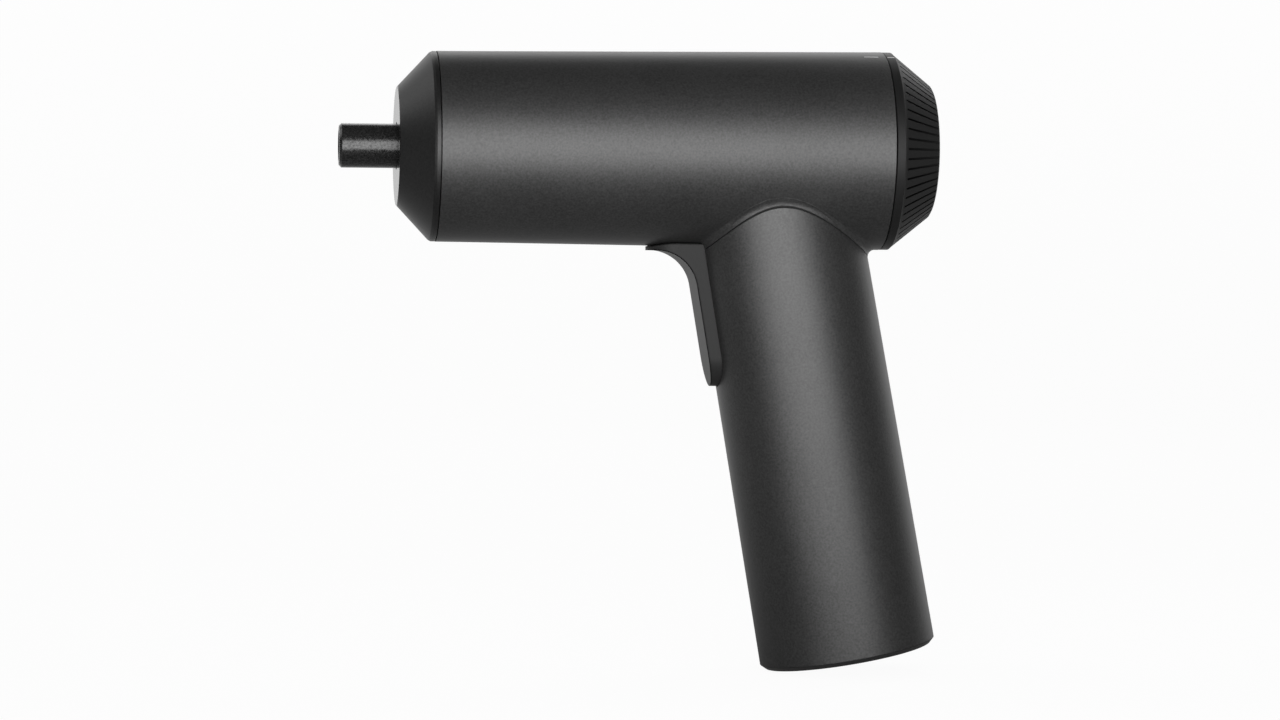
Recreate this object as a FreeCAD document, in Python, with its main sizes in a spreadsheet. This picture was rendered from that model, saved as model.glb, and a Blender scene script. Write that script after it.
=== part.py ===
"""Pistol-grip electric screwdriver, as an assembly of separate pieces.

Lengths are in millimetres.  X runs along the spindle from the bit end to the
direction dial, Z points up, and the origin is the middle of the bit holder's
mouth.  Every driving size is a cell of the sheet Sizes; lengths that follow
from several cells are named in FOLLOWS and are written in words.
"""
import FreeCAD
import Part
import math
import os
import re
import Sketcher

PLANETS = 3
ARMATURE_SLOTS = 5

SIZES = [
    # bit holder and nose
    ("bit_holder_reach", 13.7),
    ("bit_holder_radius", 5.3),
    ("bit_holder_tail", 3.7),
    ("bit_holder_chamfer", 0.6),
    ("hex_across_flats", 6.45),
    ("socket_depth", 12.5),
    ("magnet_radius", 2.8),
    ("magnet_length", 2.9),
    ("spindle_radius", 4.0),
    ("nose_hole_gap", 0.45),
    ("nose_face_radius", 14.45),
    ("nose_cone_length", 8.0),
    ("nose_band_width", 1.4),
    ("nose_wall", 2.0),
    ("nose_spigot_length", 2.4),
    ("nose_spigot_wall", 0.9),
    # barrel housing
    ("barrel_front_radius", 22.75),
    ("barrel_rear_radius", 23.92),
    ("barrel_length", 107.35),
    ("barrel_wall", 2.2),
    ("barrel_rim_wall", 1.3),
    ("rear_ledge_set_in", 6.5),
    ("rear_ledge_length", 5.0),
    ("rear_ledge_width", 3.12),
    # handle housing and base
    ("handle_angle", 10.1),
    ("handle_set_in", 28.15),
    ("handle_top_radius", 20.36),
    ("handle_base_radius", 21.36),
    ("handle_length", 122.9),
    ("handle_wall", 2.2),
    ("handle_flattening", 0.86),
    ("collar_fillet", 1.8),
    ("base_chamfer", 1.1),
    ("base_floor", 2.0),
    ("base_spigot_length", 5.2),
    ("base_spigot_wall", 1.6),
    ("sleeve_wall", 1.4),
    ("sleeve_reach", 8.1),
    # trigger
    ("trigger_width", 14.0),
    ("trigger_height", 33.66),
    ("trigger_tip_reach", 10.2),
    ("trigger_flange", 1.01),
    ("trigger_finger_radius", 10.0),
    ("trigger_proud", 1.75),
    ("trigger_back_offset", 3.3),
    ("trigger_travel", 1.6),
    ("trigger_ear_width", 18.0),
    ("trigger_ear_thickness", 2.0),
    ("trigger_ear_inset", 4.0),
    ("slot_gap", 0.2),
    ("slot_overrun", 1.1),
    ("spring_below", 6.2),
    ("spring_radius", 2.2),
    ("spring_wire", 0.25),
    ("spring_turns", 6),
    ("guide_pin_radius", 1.5),
    ("guide_pin_length", 2.5),
    ("switch_below_spring", 9.4),
    ("switch_height", 10.0),
    ("switch_width", 13.0),
    ("switch_length", 8.0),
    ("switch_stand_off", 5.0),
    ("plunger_radius", 1.5),
    ("plunger_inside", 0.7),
    # direction dial
    ("dial_ring_width", 2.3),
    ("dial_ring_wall", 2.2),
    ("dial_rear_radius", 16.0),
    ("dial_cone_length", 9.5),
    ("dial_wall", 3.1),
    ("dial_web", 0.6),
    ("dial_grooves", 60),
    ("dial_groove_width", 0.5),
    ("dial_groove_depth", 0.9),
    ("dial_groove_tail", 0.2),
    ("dial_hub_radius", 8.2),
    ("dial_hub_wall", 2.6),
    ("dial_hub_floor", 2.4),
    ("dial_seat_depth", 6.4),
    ("dial_cap_radius", 9.2),
    ("dial_cap_thickness", 1.6),
    ("dial_pivot_radius", 6.0),
    ("pivot_shoulder_width", 2.0),
    ("pivot_shoulder_height", 0.8),
    ("friction_washer_width", 1.7),
    ("friction_washer_thickness", 0.5),
    ("dial_washer_width", 1.4),
    ("dial_washer_thickness", 0.8),
    ("rear_plate_thickness", 3.0),
    ("selector_board_inset", 1.6),
    ("selector_board_thickness", 1.0),
    ("wiper_width", 8.0),
    ("wiper_height", 4.0),
    ("wiper_thickness", 0.3),
    ("wiper_set_in", 0.5),
    ("wiper_tip_radius", 0.6),
    ("wiper_tip_spread", 3.2),
    ("wiper_post_radius", 1.5),
    # gear train
    ("gear_module", 0.6),
    ("sun_teeth", 9),
    ("planet_teeth", 18),
    ("pressure_angle", 25.0),
    ("tooth_addendum", 0.8),
    ("tooth_dedendum", 1.05),
    ("tooth_thinning", 0.06),
    ("planet_pin_radius", 1.5),
    ("output_gear_width", 7.0),
    ("input_gear_width", 6.0),
    ("carrier_edge_gap", 0.6),
    ("output_carrier_thickness", 3.5),
    ("input_carrier_thickness", 3.0),
    ("planet_side_gap", 0.5),
    ("stage_gap", 0.8),
    ("front_plate_thickness", 2.5),
    ("gear_case_wall", 2.2),
    ("bush_radius", 6.5),
    ("bush_flange_width", 1.8),
    ("bush_flange_thickness", 1.2),
    ("bearing_boss_radius", 9.5),
    ("thrust_washer_thickness", 0.7),
    # motor
    ("motor_radius", 13.85),
    ("motor_can_length", 34.0),
    ("motor_can_wall", 1.1),
    ("motor_can_edge", 0.5),
    ("motor_boss_radius", 5.0),
    ("motor_boss_length", 1.7),
    ("motor_bush_radius", 3.0),
    ("motor_bush_length", 4.0),
    ("motor_shaft_radius", 1.15),
    ("motor_shaft_tail", 0.8),
    ("pinion_overhang", 1.0),
    ("motor_plate_thickness", 2.0),
    ("motor_plate_gap", 2.3),
    ("motor_screw_circle", 8.0),
    ("arc_magnet_thickness", 2.2),
    ("arc_magnet_split", 10.0),
    ("arc_magnet_set_in", 6.5),
    ("arc_magnet_length", 22.0),
    ("armature_radius", 9.9),
    ("armature_set_in", 8.5),
    ("armature_length", 18.0),
    ("armature_slot_radius", 1.6),
    ("commutator_radius", 3.5),
    ("commutator_length", 5.0),
    ("commutator_tail", 0.5),
    ("brush_length", 4.2),
    ("brush_width", 3.0),
    ("brush_height", 6.0),
    ("brush_gap", 0.3),
    ("end_bell_length", 4.0),
    ("end_bell_wall", 1.2),
    ("end_bell_skirt", 3.0),
    ("end_bell_edge", 0.8),
    ("tag_length", 5.0),
    ("tag_width", 3.0),
    ("tag_thickness", 0.5),
    ("tag_offset", 8.8),
    ("cradle_set_in", 16.0),
    ("cradle_thickness", 5.0),
    ("cradle_window", 12.0),
    # cell, chassis and boards
    ("cell_radius", 9.2),
    ("cell_button_radius", 2.8),
    ("cell_button_height", 0.3),
    ("cell_end_gap", 0.8),
    ("tab_width", 7.0),
    ("tab_height", 9.0),
    ("tab_thickness", 0.3),
    ("chassis_below_switch", 2.0),
    ("chassis_disc", 2.2),
    ("chassis_base_gap", 0.7),
    ("trough_gap", 0.2),
    ("trough_wall", 1.5),
    ("bracket_thickness", 2.5),
    ("bracket_width", 16.0),
    ("bracket_rise", 4.1),
    ("board_stand_off", 1.1),
    ("board_thickness", 1.6),
    ("board_side_gap", 1.65),
    ("board_rise", 6.0),
    ("board_base_gap", 4.5),
    ("chip_height", 1.1),
    ("control_chip_size", 7.0),
    ("control_chip_drop", 24.0),
    ("driver_chip_length", 6.0),
    ("driver_chip_drop", 38.0),
    ("driver_chip_step", 9.0),
    ("charge_chip_length", 5.0),
    ("charge_chip_width", 4.0),
    ("charge_chip_rise", 17.5),
    ("usb_width", 8.94),
    ("usb_height", 3.26),
    ("usb_length", 7.3),
    ("usb_wall", 0.3),
    ("usb_back", 1.0),
    ("usb_recess", 0.9),
    ("usb_opening_gap", 0.3),
    ("tongue_width", 6.6),
    ("tongue_thickness", 0.7),
    ("tongue_set_back", 0.6),
    ("light_radius", 1.0),
    ("light_spacing", 3.53),
    ("light_tail", 2.0),
    # leads
    ("lead_radius", 0.75),
    ("lead_bend", 3.0),
    ("lead_drop", 12.0),
    ("lead_spread", 5.0),
    ("lead_hole_radius", 2.0),
    ("lead_hole_set_in", 1.5),
    ("lead_turn", 4.0),
    # screws
    ("gearbox_screw_radius", 0.7),
    ("gearbox_screw_head", 1.2),
    ("gearbox_screw_height", 0.9),
    ("gearbox_screw_length", 8.0),
    ("plate_screw_radius", 0.7),
    ("plate_screw_head", 1.2),
    ("plate_screw_height", 0.9),
    ("plate_screw_length", 6.5),
    ("motor_screw_radius", 1.25),
    ("motor_screw_head", 1.9),
    ("motor_screw_height", 1.3),
    ("motor_screw_length", 3.9),
    ("rear_screw_radius", 0.9),
    ("rear_screw_head", 1.45),
    ("rear_screw_height", 1.1),
    ("rear_screw_length", 7.0),
    ("dial_screw_radius", 1.2),
    ("dial_screw_head", 2.75),
    ("dial_screw_height", 2.0),
    ("dial_screw_length", 7.4),
    # fits and edges
    ("press_gap", 0.02),
    ("running_gap", 0.03),
    ("snug_gap", 0.1),
    ("slide_gap", 0.25),
    ("seam_gap", 0.25),
    ("base_seam_gap", 0.05),
    ("end_play", 0.1),
    ("loose_gap", 0.4),
    ("edge_break", 0.3),
]

FOLLOWS = {
    # along the spindle
    "nose_face_x": "bit_holder_reach",
    "nose_cone_end_x": "nose_face_x + nose_cone_length",
    "front_seam_x": "nose_cone_end_x + nose_band_width",
    "rear_seam_x": "front_seam_x + barrel_length",
    "holder_shoulder_x": "nose_face_x + bit_holder_tail",
    "bush_front_x": "holder_shoulder_x + loose_gap",
    "boss_front_x": "bush_front_x + bush_flange_thickness",
    "front_plate_x": "front_seam_x + nose_spigot_length + end_play",
    "gear_case_x": "front_plate_x + front_plate_thickness",
    "thrust_washer_x": "gear_case_x + end_play",
    "output_carrier_x": "thrust_washer_x + thrust_washer_thickness + end_play",
    "output_gear_x": "output_carrier_x + output_carrier_thickness + planet_side_gap",
    "output_gear_end_x": "output_gear_x + output_gear_width",
    "teeth_x": "output_gear_x - planet_side_gap / 2",
    "input_carrier_x": "output_gear_end_x + stage_gap",
    "input_gear_x": "input_carrier_x + input_carrier_thickness + planet_side_gap",
    "input_gear_end_x": "input_gear_x + input_gear_width",
    "pinion_x": "input_gear_x + 2 * end_play",
    "motor_plate_x": "input_gear_end_x + motor_plate_gap",
    "motor_x": "motor_plate_x + motor_plate_thickness",
    "motor_end_x": "motor_x + motor_can_length",
    "bell_floor_x": "motor_end_x + end_bell_wall",
    "bell_end_x": "motor_end_x + end_bell_length",
    "tag_end_x": "bell_end_x + tag_length",
    "cradle_x": "motor_x + cradle_set_in",
    "rear_ledge_x": "rear_seam_x - rear_ledge_set_in",
    "rear_plate_end_x": "rear_ledge_x + rear_plate_thickness",
    "pivot_shoulder_x": "rear_plate_end_x + pivot_shoulder_height",
    "dial_hub_x": "pivot_shoulder_x + friction_washer_thickness + end_play",
    "dial_x": "rear_seam_x + seam_gap",
    "dial_cone_x": "dial_x + dial_ring_width",
    "dial_end_x": "dial_cone_x + dial_cone_length",
    "dial_seat_x": "dial_end_x - dial_seat_depth",
    "dial_recess_x": "dial_end_x - dial_cap_thickness - 2 * end_play",
    "pivot_end_x": "dial_seat_x + end_play",
    "wiper_x": "dial_x - wiper_set_in",
    # barrel radii
    "barrel_slope": "(barrel_rear_radius - barrel_front_radius) / barrel_length",
    "rim_radius": "barrel_front_radius - barrel_rim_wall",
    "front_bore_radius": "barrel_front_radius - barrel_wall",
    "rear_bore_radius": "barrel_rear_radius - barrel_wall",
    "rear_ledge_radius": "rear_bore_radius - rear_ledge_width",
    "rear_screw_circle": "rear_bore_radius - rear_ledge_width / 2",
    "cradle_radius": "front_bore_radius + barrel_slope * (cradle_x - front_seam_x) - snug_gap",
    "spigot_radius": "rim_radius - snug_gap",
    "spigot_bore": "spigot_radius - nose_spigot_wall",
    # gears
    "sun_pitch_radius": "gear_module * sun_teeth / 2",
    "planet_pitch_radius": "gear_module * planet_teeth / 2",
    "planet_circle": "sun_pitch_radius + planet_pitch_radius",
    "ring_teeth": "sun_teeth + 2 * planet_teeth",
    "ring_pitch_radius": "gear_module * ring_teeth / 2",
    "ring_tip_radius": "ring_pitch_radius - gear_module * tooth_addendum",
    "ring_root_radius": "ring_pitch_radius + gear_module * tooth_dedendum",
    "carrier_radius": "ring_tip_radius - carrier_edge_gap",
    "plate_screw_edge": "motor_radius + 2 * plate_screw_head + snug_gap",
    "gear_case_radius": "max(ring_root_radius + gear_case_wall; plate_screw_edge)",
    "case_screw_circle": "gear_case_radius - plate_screw_head + snug_gap",
    # dial
    "dial_top_radius": "barrel_rear_radius - base_seam_gap",
    "dial_cone_radius": "dial_top_radius - edge_break",
    "dial_slope": "(dial_cone_radius - dial_rear_radius) / dial_cone_length",
    "selector_board_bore": "dial_pivot_radius + pivot_shoulder_width + loose_gap",
    "selector_board_radius": "rear_ledge_radius - selector_board_inset",
    "wiper_circle": "(selector_board_bore + selector_board_radius) / 2",
    "lead_hole_drop": "wiper_circle - lead_hole_set_in",
    # handle
    "handle_axis_x": "rear_seam_x - handle_set_in",
    "handle_slope": "(handle_base_radius - handle_top_radius) / handle_length",
    "handle_bore_top": "handle_top_radius - handle_wall",
    "handle_bore_base": "handle_base_radius - handle_wall",
    "neck_start": "front_bore_radius / 2",
    "handle_top_half": "handle_top_radius - handle_flattening",
    "neck_barrel_radius": "barrel_front_radius + (handle_axis_x - front_seam_x) * barrel_slope",
    "neck_widening": "(handle_base_radius - handle_top_half) * neck_start / handle_length",
    "neck_half": "handle_top_half + neck_widening",
    # seam under the collar, along the lower edge of its fillet
    "neck_drop": "sqrt(neck_barrel_radius^2 - neck_half^2)",
    "fillet_drop": "collar_fillet * neck_drop / (neck_barrel_radius + neck_half)",
    "seam_low": "neck_barrel_radius + collar_fillet",
    "seam_rise": "seam_low - neck_drop - fillet_drop",
    "parting_radius": "(neck_half^2 + seam_rise^2) / (2 * seam_rise)",
    "parting_drop": "seam_low - parting_radius",
    "parting_offset": "parting_radius - neck_barrel_radius",
    "sleeve_end": "barrel_rear_radius + sleeve_reach",
    "sleeve_radius": "handle_bore_top - snug_gap",
    "base_face": "handle_length + base_chamfer",
    "base_spigot_start": "handle_length - base_spigot_length",
    "base_spigot_radius": "handle_bore_base - snug_gap",
    "base_spigot_bore": "base_spigot_radius - base_spigot_wall",
    # trigger and switch
    "grip_front_x": "handle_axis_x - handle_top_radius",
    "saddle_radius": "barrel_front_radius + (grip_front_x - front_seam_x) * barrel_slope",
    "slot_top": "front_bore_radius - slot_overrun",
    "trigger_half": "trigger_width / 2",
    "trigger_flange_drop": "saddle_radius + trigger_flange",
    "trigger_end_drop": "saddle_radius + trigger_height",
    "trigger_end_centre": "trigger_end_drop - trigger_half",
    "trigger_back_x": "handle_axis_x - trigger_back_offset",
    "slot_half": "trigger_half + slot_gap",
    "spring_drop": "saddle_radius + spring_below",
    "switch_drop": "spring_drop + switch_below_spring",
    "switch_x": "trigger_back_x + switch_stand_off",
    "bracket_x": "switch_x + switch_length",
    # cell and boards, down the handle
    "chassis_start": "switch_drop + switch_height / 2 + chassis_below_switch",
    "chassis_floor": "chassis_start + chassis_disc",
    "chassis_end": "base_spigot_start - chassis_base_gap - chassis_disc",
    "cell_start": "chassis_floor + cell_end_gap",
    "cell_end": "chassis_end - cell_end_gap",
    "trough_bore": "cell_radius + trough_gap",
    "trough_radius": "trough_bore + trough_wall",
    "board_offset": "trough_radius + board_stand_off",
    "board_start": "chassis_start - board_rise",
    "board_end": "base_face - board_base_gap",
    "board_room": "min(handle_bore_top + board_start * handle_slope; handle_bore_base) - slide_gap",
    "board_half": "sqrt(board_room^2 - (board_offset + board_thickness)^2) - board_side_gap",
    "chip_face": "board_offset + board_thickness",
    "usb_centre": "board_offset - usb_height / 2",
    "usb_mouth": "base_face - usb_recess",
    "light_across": "usb_width / 2 + light_spacing",
    "lead_level": "board_offset + board_thickness / 2",
    "lead_turn_x": "(tag_end_x + rear_ledge_x) / 2",
}

doc = FreeCAD.newDocument("electric_screwdriver")
sheet = doc.addObject("Spreadsheet::Sheet", "Sizes")
for row, (alias, amount) in enumerate(SIZES, start=1):
    sheet.set(f"A{row}", alias)
    sheet.set(f"B{row}", str(amount))
    sheet.setAlias(f"B{row}", alias)
doc.recompute()

CELLS = {alias for alias, amount in SIZES}
WORD = re.compile(r"[A-Za-z_][A-Za-z_0-9]*")
HANDLE = "placement(vector(handle_axis_x; 0; 0); rotation(vector(0; 1; 0); 90 - handle_angle))"
LOWERED = "placement(vector(0; 0; 0 - parting_drop); rotation(vector(0; 1; 0); 0))"
HALF_TURN = "placement(vector(0; 0; 0); rotation(vector(1; 0; 0); 180))"
ALONG_X = "rotation(vector(0; 1; 0); 90)"
ALONG_Z = "rotation(vector(0; 1; 0); 0)"
nodes = []


def expand(text):
    """Write a length given in words as an expression on the sheet's cells."""

    def swap(match):
        word = match.group()
        if word in FOLLOWS:
            return "(" + expand(FOLLOWS[word]) + ")"
        if word in CELLS:
            return "Sizes." + word
        return word

    return WORD.sub(swap, str(text))


def amount_of(text):
    """Return the present value of a length given in words."""
    return float(sheet.evalExpression(expand(text)))


def bind(item, **sizes):
    """Bind properties of a document object to lengths given in words."""
    for name, text in sizes.items():
        item.setExpression(name, expand(text))


def place(item, x, y, z, turn, frame):
    """Bind the placement of an object, inside a frame if one is given."""
    own = f"placement(vector({x}; {y}; {z}); {turn})"
    item.setExpression("Placement", expand(f"{frame} * {own}" if frame else own))


def rod(name, radius, start, length, y="0", z="0", frame=""):
    """Add a cylinder along X."""
    item = doc.addObject("Part::Cylinder", name)
    bind(item, Radius=radius, Height=length)
    place(item, start, y, z, ALONG_X, frame)
    return item


def post(name, radius, x, y, z, length, frame=""):
    """Add a cylinder along Z that starts at z."""
    item = doc.addObject("Part::Cylinder", name)
    bind(item, Radius=radius, Height=length)
    place(item, x, y, z, ALONG_Z, frame)
    return item


def taper(name, first, last, start, length, frame=""):
    """Add a cone along X with the radii at its two ends."""
    item = doc.addObject("Part::Cone", name)
    bind(item, Radius1=first, Radius2=last, Height=length)
    place(item, start, "0", "0", ALONG_X, frame)
    return item


def oval(name, radius, half_depth, start, frame=""):
    """Add an ellipse square to X, with its short half along Y."""
    item = doc.addObject("Part::Ellipse", name)
    bind(item, MajorRadius=radius, MinorRadius=half_depth)
    place(item, start, "0", "0", ALONG_X, frame)
    return item


def block(name, x, y, z, length, width, height, frame=""):
    """Add a box from its least corner."""
    item = doc.addObject("Part::Box", name)
    bind(item, Length=length, Width=width, Height=height)
    place(item, x, y, z, ALONG_Z, frame)
    return item


def plate(name, x, length, width, z, height, frame=""):
    """Add a box that is centred on Y."""
    return block(name, x, f"0 - ({width}) / 2", z, length, width, height, frame)


def fuse(name, *items):
    """Join objects to one shape."""
    item = doc.addObject("Part::MultiFuse", name)
    item.Shapes = list(items)
    item.Refine = True
    return item


def cut(name, base, *tools):
    """Cut tools from a base."""
    for place_in_row, tool in enumerate(tools):
        last = place_in_row == len(tools) - 1
        item = doc.addObject("Part::Cut", name if last else f"{name}_step{place_in_row}")
        item.Base = base
        item.Tool = tool
        base = item
    return base


def common(name, first, second):
    """Keep what two objects share."""
    item = doc.addObject("Part::Common", name)
    item.Base = first
    item.Tool = second
    return item


def group(name, *items):
    """Keep several solids together as one node."""
    item = doc.addObject("Part::Compound", name)
    item.Links = list(items)
    return item


def plane_of(body, role):
    """Return one of a body's own origin planes."""
    for feature in body.Origin.OriginFeatures:
        if feature.Role == role:
            return feature
    raise ValueError(role)


def sketch_outline(body, name, role, outline):
    """Draw a closed outline whose corners are bound to the sheet."""
    sketch = body.newObject("Sketcher::SketchObject", name)
    sketch.AttachmentSupport = [(plane_of(body, role), "")]
    sketch.MapMode = "FlatFace"
    corners = [FreeCAD.Vector(amount_of(x), amount_of(y), 0) for x, y in outline]
    count = len(corners)
    for index in range(count):
        sketch.addGeometry(Part.LineSegment(corners[index], corners[(index + 1) % count]), False)
    for index in range(count):
        sketch.addConstraint(Sketcher.Constraint("Coincident", index, 2, (index + 1) % count, 1))
    for index, texts in enumerate(outline):
        ways = (("DistanceX", corners[index].x, texts[0], -2), ("DistanceY", corners[index].y, texts[1], -1))
        for kind, present, text, axis in ways:
            if abs(present) < 1e-9:
                sketch.addConstraint(Sketcher.Constraint("PointOnObject", index, 1, axis))
            elif present > 0:
                added = sketch.addConstraint(Sketcher.Constraint(kind, -1, 1, index, 1, present))
                sketch.setExpression(f"Constraints[{added}]", expand(text))
            else:
                added = sketch.addConstraint(Sketcher.Constraint(kind, index, 1, -1, 1, -present))
                sketch.setExpression(f"Constraints[{added}]", expand(f"0 - ({text})"))
    return sketch


def turned(name, outline, frame=""):
    """Add a body turned about X from an outline of (x, radius) corners."""
    body = doc.addObject("PartDesign::Body", name)
    sketch = sketch_outline(body, name + "_outline", "XZ_Plane", outline)
    turn = body.newObject("PartDesign::Revolution", name + "_turn")
    turn.Profile = sketch
    turn.ReferenceAxis = (sketch, ["H_Axis"])
    turn.Angle = 360.0
    sketch.Visibility = False
    if frame:
        body.setExpression("Placement", expand(frame))
    return body


def ring(name, inner, outer, start, length, frame=""):
    """Add a plain ring about X."""
    end = f"{start} + {length}"
    return turned(name, [(start, inner), (start, outer), (end, outer), (end, inner)], frame)


def around(count, radius, first_angle):
    """Return y and z, in words, of points evenly spaced on a circle about X."""
    spots = []
    for index in range(count):
        angle = math.radians(first_angle + 360.0 * index / count)
        spots.append((f"({radius}) * {math.sin(angle):.6f}", f"({radius}) * {math.cos(angle):.6f}"))
    return spots


def rods(name, spots, radius, start, length, frame=""):
    """Add one rod along X at each spot and join them as one tool."""
    items = [rod(f"{name}_{index}", radius, start, length, y, z, frame) for index, (y, z) in enumerate(spots)]
    return group(name, *items)


def screws(name, kind, spots, seat, inward):
    """Add a group of screws along X whose heads seat at one plane, with shanks along +X if inward."""
    height = f"{kind}_screw_height"
    length = f"{kind}_screw_length"
    head_x = f"{seat} - {height}" if inward else seat
    stem_x = f"{seat} - {height} / 2" if inward else f"{seat} - {length}"
    items = []
    for index, (y, z) in enumerate(spots):
        top = rod(f"{name}_head_{index}", f"{kind}_screw_head", head_x, height, y, z)
        stem = rod(f"{name}_stem_{index}", f"{kind}_screw_radius", stem_x, f"{length} + {height} / 2", y, z)
        items.append(fuse(f"{name}_{index}", top, stem))
    return group(name, *items)


def keep(item):
    """Hand in an object as a node of its own."""
    nodes.append(item)
    return item


# Gear teeth


def tooth_half_angle(radius, pitch_radius, thickness):
    """Return half the angle that an involute tooth takes at a radius."""
    pressure = math.radians(amount_of("pressure_angle"))
    base_radius = pitch_radius * math.cos(pressure)
    here = math.acos(min(1.0, base_radius / max(radius, base_radius)))
    at_pitch = math.tan(pressure) - pressure
    at_radius = math.tan(here) - here
    return thickness / (2.0 * pitch_radius) + at_pitch - at_radius


def toothed_prism(name, teeth, tip_radius, root_radius, thickness, start, length, first_angle):
    """Add a straight toothed prism along X, with a tooth at the first angle from +Z."""
    pitch_radius = amount_of("gear_module") * teeth / 2.0
    radii = [root_radius + (tip_radius - root_radius) * part for part in (0.0, 0.34, 0.67, 1.0)]
    corners = []
    for tooth in range(teeth):
        middle = math.radians(first_angle) + 2.0 * math.pi * tooth / teeth
        for side, row in ((-1.0, radii), (1.0, radii[::-1])):
            for radius in row:
                angle = middle + side * tooth_half_angle(radius, pitch_radius, thickness)
                corners.append(FreeCAD.Vector(start, radius * math.sin(angle), radius * math.cos(angle)))
    corners.append(corners[0])
    face = Part.Face(Part.makePolygon(corners))
    item = doc.addObject("Part::Feature", name)
    item.Shape = face.extrude(FreeCAD.Vector(length, 0, 0))
    return item


def external_gear(name, teeth, start, length, first_angle):
    """Add an external gear from the sheet's tooth proportions."""
    module = amount_of("gear_module")
    pitch_radius = module * teeth / 2.0
    thickness = math.pi * module / 2.0 - amount_of("tooth_thinning")
    tip = pitch_radius + module * amount_of("tooth_addendum")
    root = pitch_radius - module * amount_of("tooth_dedendum")
    return toothed_prism(name, teeth, tip, root, thickness, amount_of(start), amount_of(length), first_angle)


# Housings

# the half turns put the seam lines of both outsides where no tool crosses them
seam_behind = f"{HANDLE} * {HALF_TURN}"
handle_top = oval("handle_top", "handle_top_radius", "handle_top_half", "0", seam_behind)
handle_end = oval("handle_end", "handle_base_radius", "handle_base_radius", "handle_length", seam_behind)
handle_outside = doc.addObject("Part::Loft", "handle_outside")
handle_outside.Sections = [handle_top, handle_end]
handle_outside.Solid = True
handle_outside.Ruled = True
handle_bore = taper(
    "handle_bore",
    "handle_bore_top + neck_start * handle_slope",
    "handle_bore_base + handle_slope * handle_wall",
    "neck_start",
    "handle_length - neck_start + handle_wall",
    HANDLE,
)


def barrel_cone(name, offset, tail="0", frame=""):
    """Add a cone that follows the barrel's outside, larger or smaller, and runs on past its rear."""
    return taper(
        name,
        f"barrel_front_radius + {offset}",
        f"barrel_rear_radius + {offset} + barrel_slope * ({tail})",
        "front_seam_x",
        f"barrel_length + {tail}",
        frame,
    )


def collar_edges(shape):
    """Return the names of the edges where the handle meets the barrel's outside."""
    names = []
    for index, edge in enumerate(shape.Edges, start=1):
        box = edge.BoundBox
        if min(box.XLength, box.YLength) < amount_of("handle_wall"):
            continue
        misses = []
        for spot in edge.discretize(5):
            along = spot.x - amount_of("front_seam_x")
            radius = amount_of("barrel_front_radius") + along * amount_of("barrel_slope")
            misses.append(abs(math.hypot(spot.y, spot.z) - radius))
        if max(misses) < amount_of("running_gap"):
            names.append(f"Edge{index}")
    return names


barrel_outside = barrel_cone("barrel_outside", "0", "0", HALF_TURN)
outside_joined = fuse("outside_joined", barrel_outside, handle_outside)
doc.recompute()
outside = doc.addObject("PartDesign::Body", "outside")
outside.BaseFeature = outside_joined
collar_round = outside.newObject("PartDesign::Fillet", "collar_round")
collar_round.Base = (outside.Group[0], collar_edges(outside_joined.Shape))
bind(collar_round, Radius="collar_fillet")
outside.Tip = collar_round
collar_cone = barrel_cone("collar_cone", "parting_offset", "0", LOWERED)
parting_cone = barrel_cone("parting_cone", "parting_offset + seam_gap", "handle_top_radius", LOWERED)
slot_roof = barrel_cone("slot_roof", "base_seam_gap")
slot_start = "handle_axis_x - handle_top_radius - 2 * handle_wall"
slot_length = "handle_top_radius + 2 * handle_wall"
slot_block = plate(
    "slot_block",
    slot_start,
    slot_length,
    "2 * slot_half",
    "0 - trigger_end_centre",
    "trigger_end_centre - slot_top",
)
slot_end = rod("slot_end", "slot_half", slot_start, slot_length, "0", "0 - trigger_end_centre")
trigger_slot = fuse("trigger_slot", slot_block, slot_end)

below_slot_roof = cut("below_slot_roof", trigger_slot, slot_roof)
grip_ceiling = "neck_drop - fillet_drop"
grip_floor = "2 * handle_length"
grip_room = plate(
    "grip_room",
    "front_seam_x",
    "barrel_length + handle_length",
    "4 * barrel_rear_radius",
    f"0 - {grip_floor}",
    f"{grip_floor} - ({grip_ceiling})",
)
below_seam = cut("below_seam", grip_room, collar_cone)
barrel_bore = turned(
    "barrel_bore",
    [
        ("front_seam_x - barrel_wall", "0"),
        ("front_seam_x - barrel_wall", "rim_radius"),
        ("gear_case_x", "rim_radius"),
        ("gear_case_x", "front_bore_radius + barrel_slope * (gear_case_x - front_seam_x)"),
        (
            "rear_ledge_x - rear_ledge_length",
            "rear_bore_radius - barrel_slope * (rear_ledge_set_in + rear_ledge_length)",
        ),
        ("rear_ledge_x - rear_ledge_length", "rear_ledge_radius"),
        ("rear_ledge_x", "rear_ledge_radius"),
        ("rear_ledge_x", "rear_bore_radius"),
        ("rear_seam_x + barrel_wall", "rear_bore_radius"),
        ("rear_seam_x + barrel_wall", "0"),
    ],
)
rear_spots = around(3, "rear_screw_circle", 0)
rear_screw_holes = rods(
    "rear_screw_holes",
    rear_spots,
    "rear_screw_radius + press_gap",
    "rear_ledge_x + rear_plate_thickness - rear_screw_length - loose_gap",
    "rear_screw_length",
)
barrel_tools = (below_seam, barrel_bore, handle_bore, below_slot_roof, rear_screw_holes)
barrel_housing = keep(cut("barrel_housing", outside, *barrel_tools))

handle_housing = keep(cut("handle_housing", handle_outside, parting_cone, handle_bore, trigger_slot))

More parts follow.
